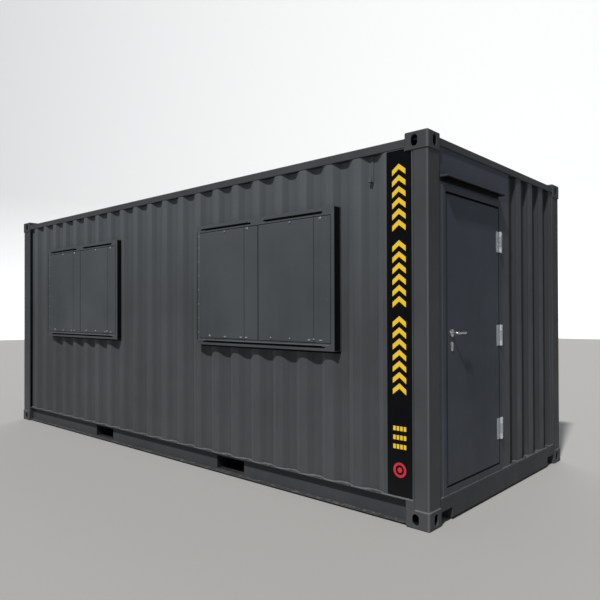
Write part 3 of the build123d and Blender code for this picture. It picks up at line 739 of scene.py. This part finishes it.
def raiseFaces(bm, faces, shift):
    grown = bmesh.ops.extrude_face_region(bm, geom=faces)["geom"]
    bmesh.ops.translate(bm, vec=shift, verts=kept(grown, bmesh.types.BMVert))
    return kept(grown, bmesh.types.BMFace)


def raiseFace(bm, face, shift):
    # the face moves out and leaves an open foot behind
    raised = raiseFaces(bm, [face], shift)[0]
    if face.is_valid:
        bmesh.ops.delete(bm, geom=[face], context="FACES_ONLY")
    return raised


def roundEdges(bm, edges, offset, steps):
    bmesh.ops.bevel(bm, geom=list(edges), offset=offset, offset_type="OFFSET", segments=steps,
                    profile=0.5, affect="EDGES", material=-1)


def addBar(bm, low, high, edge, lean=0.0):
    # a straight bar between two corners, its top pushed back by the lean
    low, high = Vector(low), Vector(high)
    middle = (low + high) / 2
    made = bmesh.ops.create_cube(bm, size=1.0)["verts"]
    bmesh.ops.scale(bm, vec=high - low, verts=made)
    bmesh.ops.translate(bm, vec=middle, verts=made)
    top = [vert for vert in made if vert.co.z > middle.z]
    bmesh.ops.translate(bm, vec=(0, lean, 0), verts=top)
    roundEdges(bm, {rim for vert in made for rim in vert.link_edges}, edge, making["barSteps"])


def laySheet(bm, rows):
    # a grid whose points are laid row by row
    last, across = len(rows) - 1, len(rows[0]) - 1
    for vert in bmesh.ops.create_grid(bm, x_segments=last, y_segments=across, size=1.0)["verts"]:
        row, step = round((vert.co.x + 1) / 2 * last), round((vert.co.y + 1) / 2 * across)
        vert.co = rows[row][step]


# Corrugated walls, pressed from sheet with round folds
sideWall = dict(
    doorCorner=3.029,
    crestY=1.209,
    depth=0.036,
    pitch=0.2567,
    crest=0.062,
    trough=0.0615,
    firstTrough=0.448,
)
endWall = dict(endX=3.013, depth=0.0456, pitch=0.250, crest=0.110, trough=0.104, troughs=10,
               doorEndTrough=-1.083, blindEndTrough=-1.125)
sheetMetal = dict(thickness=0.002, foldRadius=0.016, foldSteps=4, foldTurn=0.05,
                  castingX=2.851, castingZ=2.473, runOn=9.0, join=1e-4)
windowSpans = [(-2.203, -0.629), (0.716, 2.290)]


def pressedLine(shape, centres, low, high):
    # corners along the wall with their depth behind the crests, cut to the panel's two ends
    slope = (shape["pitch"] - shape["crest"] - shape["trough"]) / 2
    half = shape["trough"] / 2
    steps = ((-half - slope, 0.0), (-half, shape["depth"]), (half, shape["depth"]), (half + slope, 0.0))
    corners = sorted((centre + reach, depth) for centre in centres for reach, depth in steps)
    corners = [(low - sheetMetal["runOn"], 0.0)] + corners + [(high + sheetMetal["runOn"], 0.0)]

    def depthAt(place):
        for (x0, d0), (x1, d1) in zip(corners, corners[1:]):
            if x0 <= place <= x1:
                return d0 + (d1 - d0) * (place - x0) / (x1 - x0)

    first, last = low + sheetMetal["join"], high - sheetMetal["join"]
    inside = [corner for corner in corners if first < corner[0] < last]
    return [(low, depthAt(low))] + inside + [(high, depthAt(high))]


def sideLine(low, high):
    count = int(2 * sideWall["doorCorner"] / sideWall["pitch"])
    first = sideWall["doorCorner"] - sideWall["firstTrough"]
    return pressedLine(sideWall, [first - step * sideWall["pitch"] for step in range(count)], low, high)


def endLine(firstCentre, low, high):
    centres = [firstCentre + step * endWall["pitch"] for step in range(endWall["troughs"])]
    return pressedLine(endWall, centres, low, high)


def pressSheet(bm, points, zLow, zHigh, outward):
    lows = [bm.verts.new((x, y, zLow)) for x, y in points]
    edges = [bm.edges.new(pair) for pair in zip(lows, lows[1:])]
    grown = bmesh.ops.extrude_edge_only(bm, edges=edges)["geom"]
    faces = kept(grown, bmesh.types.BMFace)
    bmesh.ops.translate(bm, vec=(0, 0, zHigh - zLow), verts=kept(grown, bmesh.types.BMVert))
    bm.normal_update()
    bmesh.ops.reverse_faces(bm, faces=[face for face in faces if face.normal.dot(outward) < 0])
    folds = {edge for face in faces for edge in face.edges
             if len(edge.link_faces) == 2 and edge.calc_face_angle() > sheetMetal["foldTurn"]}
    roundEdges(bm, folds, sheetMetal["foldRadius"], sheetMetal["foldSteps"])


def clearCastings(bm):
    # leaves room for the castings at the wall's upper corners
    castingX, castingZ = sheetMetal["castingX"], sheetMetal["castingZ"]
    cuts = [((-castingX, 0, 0), (1, 0, 0)), ((castingX, 0, 0), (1, 0, 0)), ((0, 0, castingZ), (0, 0, 1))]
    for place, direction in cuts:
        bmesh.ops.bisect_plane(bm, geom=bm.verts[:] + bm.edges[:] + bm.faces[:],
                               plane_co=place, plane_no=direction)
    inside = []
    for face in bm.faces:
        middle = face.calc_center_median()
        if abs(middle.x) > castingX and middle.z > castingZ:
            inside.append(face)
    bmesh.ops.delete(bm, geom=inside, context="FACES")


def thicken(piece):
    solid = piece.modifiers.new("sheetThickness", "SOLIDIFY")
    solid.thickness = sheetMetal["thickness"]
    solid.offset = -1
    solid.use_even_offset = True
    evenShading(piece)


def addSideWall(node, spans, side):
    low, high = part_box(node)
    bm = bmesh.new()
    for x0, x1 in spans or [(low.x, high.x)]:
        points = [(x, side * (sideWall["crestY"] - depth)) for x, depth in sideLine(x0, x1)]
        pressSheet(bm, points, low.z, high.z, Vector((0, side, 0)))
    if not spans:
        clearCastings(bm)
    thicken(addPiece(bm, node + "_pressed", wallPaint, stands=[node]))


def addEndWall(node, firstCentre, end):
    low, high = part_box(node)
    bm = bmesh.new()
    points = [(end * (endWall["endX"] - depth), y) for y, depth in endLine(firstCentre, low.y, high.y)]
    pressSheet(bm, points, low.z, high.z, Vector((end, 0, 0)))
    thicken(addPiece(bm, node + "_pressed", endPaint, stands=[node]))


for wallNode, wallSpans in (("front_wall_door_end", None), ("front_wall_middle", None),
                            ("front_wall_blind_end", None), ("front_wall_over_windows", windowSpans),
                            ("front_wall_under_windows", windowSpans)):
    addSideWall(wallNode, wallSpans, -1)
addSideWall("back_wall", None, 1)
addEndWall("door_end_wall", endWall["doorEndTrough"], 1)
addEndWall("blind_end_wall", endWall["blindEndTrough"], -1)
print("walls pressed")

# Corner castings with round edges and open holes
casting = dict(
    corner=(3.029, 1.219),
    length=0.178,
    width=0.162,
    height=0.118,
    plate=0.028,
    wall=0.016,
    innerEnd=0.010,
    edge=0.010,
    edgeSteps=4,
    slotCentre=(2.9265, 1.1295),
    slotSize=(0.1245, 0.0635),
    holeSize=(0.0795, 0.051),
    innerHoleSize=(0.070, 0.049),
    innerHoleLift=0.0065,
    roundSteps=9,
    smoothDegrees=30,
    flat=0.999,
    near=1e-4,
    same=1e-5,
)


def stadium(longSide, shortSide, steps):
    radius = shortSide / 2
    reach = longSide / 2 - radius
    points = []
    for end in (1, -1):
        for step in range(steps + 1):
            angle = math.pi * (step / steps - 0.5)
            points.append((end * (reach + radius * math.cos(angle)), end * radius * math.sin(angle)))
    return points


def openFace(bm, face, loop):
    rim = list(face.edges)
    bmesh.ops.delete(bm, geom=[face], context="FACES_ONLY")
    hole = outline(bm, loop)
    bmesh.ops.triangle_fill(bm, use_beauty=True, use_dissolve=False, edges=rim + hole)
    return hole


def castingBlock(bm, low, high, edge=0.0, steps=0):
    made = bmesh.ops.create_cube(bm, size=1.0)["verts"]
    for vert in made:
        vert.co = Vector((low[i] if vert.co[i] < 0 else high[i] for i in range(3)))
    if steps:  # all edges but those that meet the post
        rims = {rim for vert in made for rim in vert.link_edges
                if min(end.co.z for end in rim.verts) < high[2] - casting["same"]}
        roundEdges(bm, rims, edge, steps)
    bm.normal_update()


def faceTowards(bm, direction, place):
    # the widest flat face with that direction at that distance
    found = [face for face in bm.faces if face.normal.dot(direction) > casting["flat"]
             and abs(face.calc_center_median().dot(direction) - place) < casting["near"]]
    return max(found, key=lambda face: face.calc_area())


def castingHoles(shape, z, y, x, inner):
    # outlines of the slot below, the hole in the end and the hole in the side
    slotX, slotY = shape["slotCentre"]
    tall, wide = shape["innerHoleSize"] if inner else shape["holeSize"]
    middle = shape["height"] / 2 + (shape["innerHoleLift"] if inner else 0)
    slot = [(slotX + u, slotY + v, z) for u, v in stadium(*shape["slotSize"], shape["roundSteps"])]
    hole = stadium(tall, wide, shape["roundSteps"])
    endHole = [(x, slotY + v, middle + u) for u, v in hole]
    return slot, endHole, [(slotX + v, y, middle + u) for u, v in hole]


def joinMesh(bm, other):
    mesh = bpy.data.meshes.new("castingRoom")
    other.to_mesh(mesh)
    other.free()
    bm.from_mesh(mesh)
    bpy.data.meshes.remove(mesh)


def openRim(bm, points):
    # the open edges along an outline
    spots = [Vector(point) for point in points]
    near = {vert for vert in bm.verts
            if min((vert.co - spot).length for spot in spots) < casting["same"]}
    return [edge for edge in bm.edges if edge.is_boundary and near.issuperset(edge.verts)]


def makeCasting(shape):
    bm, room = bmesh.new(), bmesh.new()
    farX, farY = shape["corner"]
    nearX, nearY = farX - shape["length"], farY - shape["width"]
    wall, plate = shape["wall"], shape["plate"]
    top = shape["height"] - wall
    directions = (Vector((0, 0, -1)), Vector((1, 0, 0)), Vector((0, 1, 0)))
    castingBlock(bm, (nearX, nearY, 0), (farX, farY, shape["height"]), shape["edge"], shape["edgeSteps"])
    outerLoops = []
    holes = castingHoles(shape, 0, farY, farX, False)
    for direction, place, loop in zip(directions, (0, farX, farY), holes):
        outerLoops.append(openFace(bm, faceTowards(bm, direction, place), loop))
    castingBlock(room, (nearX + shape["innerEnd"], nearY + wall, plate), (farX - wall, farY - wall, top))
    innerLoops = castingHoles(shape, plate, farY - wall, farX - wall, True)
    for direction, place, loop in zip(directions, (-plate, farX - wall, farY - wall), innerLoops):
        openFace(room, faceTowards(room, direction, place), loop)
    bmesh.ops.reverse_faces(room, faces=room.faces[:])
    joinMesh(bm, room)
    for outerLoop, innerPoints in zip(outerLoops, innerLoops):
        outer = [edge for edge in outerLoop if edge.is_valid]
        bmesh.ops.bridge_loops(bm, edges=outer + openRim(bm, innerPoints))
    bmesh.ops.recalc_face_normals(bm, faces=bm.faces[:])
    return bm


def addCastings(node, top):
    whole = bmesh.new()
    single = bpy.data.meshes.new("oneCasting")
    one = makeCasting(casting)
    one.to_mesh(single)
    one.free()
    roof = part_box(node)[1].z
    for xSide in (1, -1):
        for ySide in (1, -1):
            start, startFace = len(whole.verts), len(whole.faces)
            whole.from_mesh(single)
            whole.verts.ensure_lookup_table()
            whole.faces.ensure_lookup_table()
            for vert in whole.verts[start:]:
                z = roof - vert.co.z if top else vert.co.z
                vert.co = (xSide * vert.co.x, ySide * vert.co.y, z)
            if xSide * ySide * (-1 if top else 1) < 0:  # a mirrored copy is inside out
                bmesh.ops.reverse_faces(whole, faces=whole.faces[startFace:])
    bpy.data.meshes.remove(single)
    evenShading(addPiece(whole, node + "_cast", castingPaint, stands=[node],
                         smoothDegrees=casting["smoothDegrees"]))


addCastings("bottom_corner_castings", False)
addCastings("top_corner_castings", True)
print("castings made")

# Weld beads, laid by hand along the joints
bead = dict(height=0.0075, run=0.0075, belly=0.62, spacing=0.022, smoothDegrees=60,
            swells=((0.16, 2.1, 0.0), (0.12, 0.83, 1.0)))
postBead = dict(skin=(3.023, 1.213), bend=0.012, doorDepth=0.114, blindDepth=0.170,
                innerY=1.057, bendSteps=5)


def layBead(bm, points, outwards):
    # a low ridge in the corner between an upright sheet and a ledge
    rows = []
    for number, (point, outward) in enumerate(zip(points, outwards)):
        swell = 1 + sum(share * math.sin(pace * number + start) for share, pace, start in bead["swells"])
        rise = Vector((0, 0, bead["height"] * swell))
        away = Vector((*outward, 0)) * (bead["run"] * swell)
        foot = Vector(point)
        rows.append((foot + rise, foot + (away + rise) * bead["belly"], foot + away))
    laySheet(bm, rows)


def spaced(points, spacing):
    # more points along a line, evenly laid
    result = [Vector(points[0])]
    for a, b in zip(points, points[1:]):
        a, b = Vector(a), Vector(b)
        count = max(1, round((b - a).length / spacing))
        result += [a.lerp(b, (step + 1) / count) for step in range(count)]
    return result


def finishBeads(bm, name):
    bmesh.ops.recalc_face_normals(bm, faces=bm.faces[:])
    addPiece(bm, name, beadPaint, smoothDegrees=bead["smoothDegrees"])


def addWallBeads():
    bm = bmesh.new()
    for side, node in ((-1, "front_wall_middle"), (1, "back_wall")):
        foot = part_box(node)[0].z
        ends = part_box("back_wall")
        corners = sideLine(ends[0].x, ends[1].x)
        line = [(x, side * (sideWall["crestY"] - depth), 0) for x, depth in corners]
        path = spaced(line, bead["spacing"])
        layBead(bm, [(point.x, point.y, foot) for point in path], [(0, side)] * len(path))
    for end, node, first in ((1, "door_end_wall", "doorEndTrough"),
                             (-1, "blind_end_wall", "blindEndTrough")):
        low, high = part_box(node)
        corners = endLine(endWall[first], low.y, high.y)
        line = [(end * (endWall["endX"] - depth), y, low.z) for y, depth in corners]
        if end > 0:  # on past the doorway, along the flat panels
            line = [(endWall["endX"], -postBead["innerY"], low.z)] + line
        path = spaced(line, bead["spacing"])
        layBead(bm, path, [(end, 0)] * len(path))
    finishBeads(bm, "wall_weld_beads")


def postLine(depth):
    # round one post, from its side face to its end face, with the way out at each point
    skinX, skinY = postBead["skin"]
    bend, steps = postBead["bend"], postBead["bendSteps"]
    line = spaced([(skinX - depth + bend, skinY, 0), (skinX - bend, skinY, 0)], bead["spacing"])
    outwards = [(0, 1)] * len(line)
    for step in range(1, steps):
        angle = math.pi / 2 * (1 - step / steps)
        outward = (math.cos(angle), math.sin(angle))
        line.append(Vector((skinX - bend + bend * outward[0], skinY - bend + bend * outward[1], 0)))
        outwards.append(outward)
    tail = spaced([(skinX, skinY - bend, 0), (skinX, postBead["innerY"] + bend, 0)], bead["spacing"])
    return line + tail, outwards + [(1, 0)] * len(tail)


def addPostBeads():
    bm = bmesh.new()
    for xSide, depth in ((1, postBead["doorDepth"]), (-1, postBead["blindDepth"])):
        line, outwards = postLine(depth)
        for ySide in (-1, 1):
            layBead(bm, [(xSide * point.x, ySide * point.y, casting["height"]) for point in line],
                    [(xSide * a, ySide * b) for a, b in outwards])
    finishBeads(bm, "post_weld_beads")


addWallBeads()
addPostBeads()
print("welds laid")

# Painted shade: black strips in the grooves beside the blind end posts
postGrooveShade = dict(postX=-2.853, width=0.010, front=1.206, back=1.174, low=0.178, high=2.470, edge=0.003)


def addPostGrooveShade():
    bm = bmesh.new()
    left, right = postGrooveShade["postX"], postGrooveShade["postX"] + postGrooveShade["width"]
    for near, far in ((-postGrooveShade["front"], -postGrooveShade["back"]),
                      (postGrooveShade["back"], postGrooveShade["front"])):
        addBar(bm, (left, near, postGrooveShade["low"]), (right, far, postGrooveShade["high"]), postGrooveShade["edge"])
    addPiece(bm, "post_groove_shade", shadeRubber)


# Painted shade: a black strip under the rain canopy
canopyShadeStrip = dict(wallX=3.013, proud=0.007, drop=0.040, top=2.3225, endGap=0.003, edge=0.002)


def addCanopyShadeStrip():
    low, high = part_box("rain_canopy")
    bm = bmesh.new()
    wall, top, gap = canopyShadeStrip["wallX"], canopyShadeStrip["top"], canopyShadeStrip["endGap"]
    addBar(bm, (wall, low.y + gap, top - canopyShadeStrip["drop"]),
           (wall + canopyShadeStrip["proud"], high.y - gap, top), canopyShadeStrip["edge"])
    addPiece(bm, "canopy_shade_strip", shadeRubber)


# Painted shade: a black lip round the edge of the door leaf, for the shade in the door gap
doorGapShade = dict(inset=0.0004, width=0.0062, proud=0.0010)


def addDoorGapShade():
    low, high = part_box("door_outer_skin")
    bm = bmesh.new()
    for inset in (doorGapShade["inset"], doorGapShade["inset"] + doorGapShade["width"]):
        corners = [(low.y + inset, low.z + inset), (high.y - inset, low.z + inset),
                   (high.y - inset, high.z - inset), (low.y + inset, high.z - inset)]
        outline(bm, [(high.x, y, z) for y, z in corners])
    bmesh.ops.bridge_loops(bm, edges=bm.edges[:])
    raiseFaces(bm, bm.faces[:], (doorGapShade["proud"], 0, 0))
    bmesh.ops.recalc_face_normals(bm, faces=bm.faces[:])
    addPiece(bm, "door_gap_shade", shadeRubber, body="door")


addPostGrooveShade()
addCanopyShadeStrip()
addDoorGapShade()
print("seals laid")

# Black strip beside the corner post, with a plain striped warning design
strip = dict(
    left=2.707,
    right=2.9005,
    low=0.186,
    high=2.490,
    notchLeft=2.846,
    notchHigh=2.4705,
    face=-1.2091,
    thickness=0.0006,
    corner=0.006,
    cornerSteps=4,
    chevronWidth=0.104,
    chevronRise=0.040,
    chevronBand=0.036,
    chevronPitch=0.0745,
    chevronGroups=((0.86, 7), (1.44, 6), (1.95, 6)),
    dashRows=(0.50, 0.56, 0.62),
    dashColumns=(-1.5, -0.5, 0.5, 1.5),
    dashSize=(0.020, 0.030),
    dashGap=0.027,
    discCentre=0.36,
    discRadius=0.050,
    discSides=32,
    ringShares=(1.0, 0.66),
    dotShare=0.36,
)


def flatPatch(bm, points, y):
    face = bm.faces.new([bm.verts.new((x, y, z)) for x, z in points])
    face.normal_update()
    if face.normal.y > 0:
        face.normal_flip()
    raiseFace(bm, face, (0, -strip["thickness"], 0))


def addStripGround():
    bm = bmesh.new()
    corners = [(strip["left"], strip["low"]), (strip["right"], strip["low"]),
               (strip["right"], strip["notchHigh"]), (strip["notchLeft"], strip["notchHigh"]),
               (strip["notchLeft"], strip["high"]), (strip["left"], strip["high"])]
    bm.faces.new([bm.verts.new((x, strip["face"], z)) for x, z in corners])
    bmesh.ops.bevel(bm, geom=bm.verts[:], offset=strip["corner"], offset_type="OFFSET",
                    segments=strip["cornerSteps"], profile=0.5, affect="VERTICES", material=-1)
    raiseFace(bm, bm.faces[:][0], (0, -strip["thickness"], 0))
    bmesh.ops.recalc_face_normals(bm, faces=bm.faces[:])
    addPiece(bm, "strip_ground", stripBlack)


def addStripMarks(front, middle):
    bm = bmesh.new()
    half, rise, band = strip["chevronWidth"] / 2, strip["chevronRise"], strip["chevronBand"]
    left, right = middle - half, middle + half
    for start, count in strip["chevronGroups"]:
        for step in range(count):
            z = start + step * strip["chevronPitch"]
            flatPatch(bm, [(left, z), (middle, z + rise), (right, z), (right, z + band),
                           (middle, z + rise + band), (left, z + band)], front)
    wide, tall = strip["dashSize"]
    for z in strip["dashRows"]:
        for step in strip["dashColumns"]:
            x = middle + step * strip["dashGap"] - wide / 2
            flatPatch(bm, [(x, z), (x + wide, z), (x + wide, z + tall), (x, z + tall)], front)
    bmesh.ops.recalc_face_normals(bm, faces=bm.faces[:])
    addPiece(bm, "strip_chevrons", stripYellow)


def addStripDisc(front, middle):
    bm = bmesh.new()
    radius, sides = strip["discRadius"], strip["discSides"]
    for share in strip["ringShares"]:
        bmesh.ops.create_circle(bm, segments=sides, radius=radius * share)
    bmesh.ops.bridge_loops(bm, edges=bm.edges[:])
    bmesh.ops.create_circle(bm, cap_ends=True, segments=sides, radius=radius * strip["dotShare"])
    place = Matrix.Translation((middle, front, strip["discCentre"]))
    bmesh.ops.transform(bm, matrix=place @ Matrix.Rotation(math.pi / 2, 4, "X"), verts=bm.verts[:])
    raiseFaces(bm, bm.faces[:], (0, -strip["thickness"], 0))
    bmesh.ops.recalc_face_normals(bm, faces=bm.faces[:])
    addPiece(bm, "strip_reflector", stripRed)


stripFront = strip["face"] - strip["thickness"]
stripMiddle = (strip["left"] + strip["right"]) / 2
addStripGround()
addStripMarks(stripFront, stripMiddle)
addStripDisc(stripFront, stripMiddle)
print("strip laid")

# Fixings, each a washer under a domed head
knob = dict(washer=0.0105, washerThick=0.0020, head=0.0072, headHigh=0.009, sides=12)
rivet = dict(washer=0.0046, washerThick=0.0006, head=0.0034, headHigh=0.0022, sides=8)
screw = dict(washer=0.0062, washerThick=0.0006, head=0.0050, headHigh=0.0026, sides=10)
fixingShares = dict(washerRim=0.7, washerTop=0.92, headSide=(0.94, 0.55), headTop=(0.55, 0.93))


def addFixing(bm, place, direction, size):
    # drawn up ring by ring from a flat round
    axis = Vector(direction)
    washer, thick, head, high = size["washer"], size["washerThick"], size["head"], size["headHigh"]
    (sideShare, sideHigh), (topShare, topHigh) = fixingShares["headSide"], fixingShares["headTop"]
    rings = [(washer, thick * fixingShares["washerRim"]), (washer * fixingShares["washerTop"], thick),
             (head, thick), (head * sideShare, thick + high * sideHigh),
             (head * topShare, thick + high * topHigh)]
    turn = Matrix.Translation(place) @ axis.to_track_quat("Z", "Y").to_matrix().to_4x4()
    made = bmesh.ops.create_circle(bm, cap_ends=True, segments=size["sides"], radius=washer,
                                   matrix=turn @ Matrix.Rotation(-math.pi / 2, 4, "Z"))["verts"]
    face = made[0].link_faces[0]
    face.normal_update()
    if face.normal.dot(axis) < 0:
        face.normal_flip()
    lastRadius, lastHeight = washer, 0.0
    for radius, height in rings:
        face = raiseFace(bm, face, axis * (height - lastHeight))
        centre = Vector(place) + axis * height
        share = radius / lastRadius
        bmesh.ops.scale(bm, vec=(share, share, share), space=Matrix.Translation(-centre),
                        verts=face.verts[:])
        lastRadius, lastHeight = radius, height


shutterFixings = dict(
    low=(-0.605, 0.149, 0.354, 0.597),
    lowZ=1.209,
    high=(-0.405, -0.130, 0.354, 0.655),
    highZ=2.098,
    clips=(-0.605, -0.405, -0.205, -0.140, 0.545, 0.660),
    clipZ=1.203,
    clipSize=(0.026, 0.004, 0.009),
    clipLean=0.4,
    clipEdge=0.0015,
    creases=(-0.163, 0.595),
    creaseSize=(0.0040, 0.0010),
    edgeSpan=(0.0095, 0.0425),
    edgeThick=0.0012,
    edgeCorner=0.0005,
    edgeShadeLine=0.0070,
    edgeRivets=(0.024, (1.235, 1.36, 1.485, 1.61, 1.735, 1.86, 1.985, 2.085)),
    leafRivets=(0.061, (1.50, 1.73, 1.96)),
)
windowShadeStrips = dict(
    slots=((-0.727, -0.117, 2.1352, 2.1490), (0.063, 0.677, 2.1352, 2.1490),
           (-0.706, 0.700, 1.1465, 1.1570)),
    slotProud=0.0006,
    slotCorner=0.00025,
    lip=(0.022, 0.050, 1.1635, 1.1710),
    lipProud=0.0012,
    footDrop=0.017,
    footEnd=0.004,
    footY=(-1.2160, -1.1700),
    corner=0.0005,
)


def addClip(bm, x, front):
    # a short folded tab that holds the foot of a shutter
    wide, deep, tall = shutterFixings["clipSize"]
    z = shutterFixings["clipZ"]
    addBar(bm, (x - wide / 2, front - deep, z - tall / 2), (x + wide / 2, front, z + tall / 2),
           shutterFixings["clipEdge"], lean=deep * shutterFixings["clipLean"])


def addCrease(bm, x):
    # a faint fold that runs up a shutter
    low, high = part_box("left_shutters")
    half, proud = shutterFixings["creaseSize"]
    laySheet(bm, [[(x + side * half, low.y - lift * proud, z) for z in (low.z, high.z)]
                  for side, lift in ((-1, 0), (0, 1), (1, 0))])


def addEdgeStrip(bm, x0, front):
    # the riveted strip that covers the left edge of a shutter
    low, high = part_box("left_shutters")
    near, far = shutterFixings["edgeSpan"]
    addBar(bm, (x0 + near, front - shutterFixings["edgeThick"], low.z), (x0 + far, front, high.z),
           shutterFixings["edgeCorner"])


def addWindowShadeStrips():
    # painted light: black strips in the slots of the boxes for the shade in them, a lighter lip over the
    # lower one as a painted highlight, and a black strip below for the shade under each box
    slotShades, lips, footShades = bmesh.new(), bmesh.new(), bmesh.new()
    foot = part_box("window_sills")[0].z
    corner = windowShadeStrips["corner"]
    behind = windowFront + corner
    for x0, x1 in windowSpans:
        middle = (x0 + x1) / 2
        for start, end, zLow, zHigh in windowShadeStrips["slots"]:
            addBar(slotShades, (middle + start, windowFront - windowShadeStrips["slotProud"], zLow),
                   (middle + end, behind, zHigh), windowShadeStrips["slotCorner"])
        near, far, zLow, zHigh = windowShadeStrips["lip"]
        addBar(lips, (x0 + near, windowFront - windowShadeStrips["lipProud"], zLow),
               (x1 - far, behind, zHigh), corner)
        end = windowShadeStrips["footEnd"]
        yNear, yFar = windowShadeStrips["footY"]
        addBar(footShades, (x0 + end, yNear, foot - windowShadeStrips["footDrop"]),
               (x1 - end, yFar, foot + corner), corner)
    addPiece(slotShades, "shutter_slot_shade_strips", slotShadeRubber)
    addPiece(lips, "shutter_foot_lips", beadPaint)
    addPiece(footShades, "window_foot_shade_strips", shadeRubber)


def addWindowFixings():
    knobs, rivets, painted = bmesh.new(), bmesh.new(), bmesh.new()
    strips, shadeLines, clips, creases = bmesh.new(), bmesh.new(), bmesh.new(), bmesh.new()
    front, out = windowFront, (0, -1, 0)
    for x0, x1 in windowSpans:
        middle = (x0 + x1) / 2
        for row in ("low", "high"):
            for offset in shutterFixings[row]:
                addFixing(knobs, (middle + offset, front, shutterFixings[row + "Z"]), out, knob)
        for offset in shutterFixings["clips"]:
            addClip(clips, middle + offset, front)
        for offset in shutterFixings["creases"]:
            addCrease(creases, middle + offset)
        addEdgeStrip(strips, x0, front)
        addCrease(shadeLines, x0 + shutterFixings["edgeShadeLine"])
        inset, heights = shutterFixings["edgeRivets"]
        for z in heights:
            addFixing(rivets, (x0 + inset, front - shutterFixings["edgeThick"], z), out, rivet)
        inset, heights = shutterFixings["leafRivets"]
        for z in heights:
            addFixing(painted, (x1 - inset, front, z), out, rivet)
    addPiece(knobs, "shutter_knobs", dullZinc)
    addPiece(rivets, "shutter_edge_rivets", dullZinc)
    addPiece(painted, "shutter_leaf_rivets", beadPaint)
    addPiece(strips, "shutter_edge_strips", shutterPaint)
    # painted shade: a black line beside each edge strip
    addPiece(shadeLines, "shutter_edge_shade_lines", shadeRubber)
    addPiece(clips, "shutter_clips", dullZinc)
    # painted shade: the creases are painted darker
    addPiece(creases, "shutter_shaded_creases", creaseShadePaint)


hingeFixings = dict(faceX=3.022, axisY=-0.1185, reach=0.034, steps=(-0.060, -0.022, 0.022, 0.060),
                    leafHeight=0.160)


def addHingeScrews():
    low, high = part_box("hinge_door_leaves")
    half = hingeFixings["leafHeight"] / 2
    heights = (low.z + half, (low.z + high.z) / 2, high.z - half)
    for side, body, name in ((1, "container", "hinge_frame_screws"), (-1, "door", "hinge_door_screws")):
        bm = bmesh.new()
        y = hingeFixings["axisY"] + side * hingeFixings["reach"]
        for z in heights:
            for step in hingeFixings["steps"]:
                addFixing(bm, (hingeFixings["faceX"], y, z + step), (1, 0, 0), screw)
        addPiece(bm, name, satinSteel, body=body)


addWindowShadeStrips()
addWindowFixings()
addHingeScrews()
print("fixings set")

sizes = dict(cadLow=list(cadLow), cadHigh=list(cadHigh))
shownLow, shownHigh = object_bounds()
sizes.update(shownLow=list(shownLow), shownHigh=list(shownHigh))
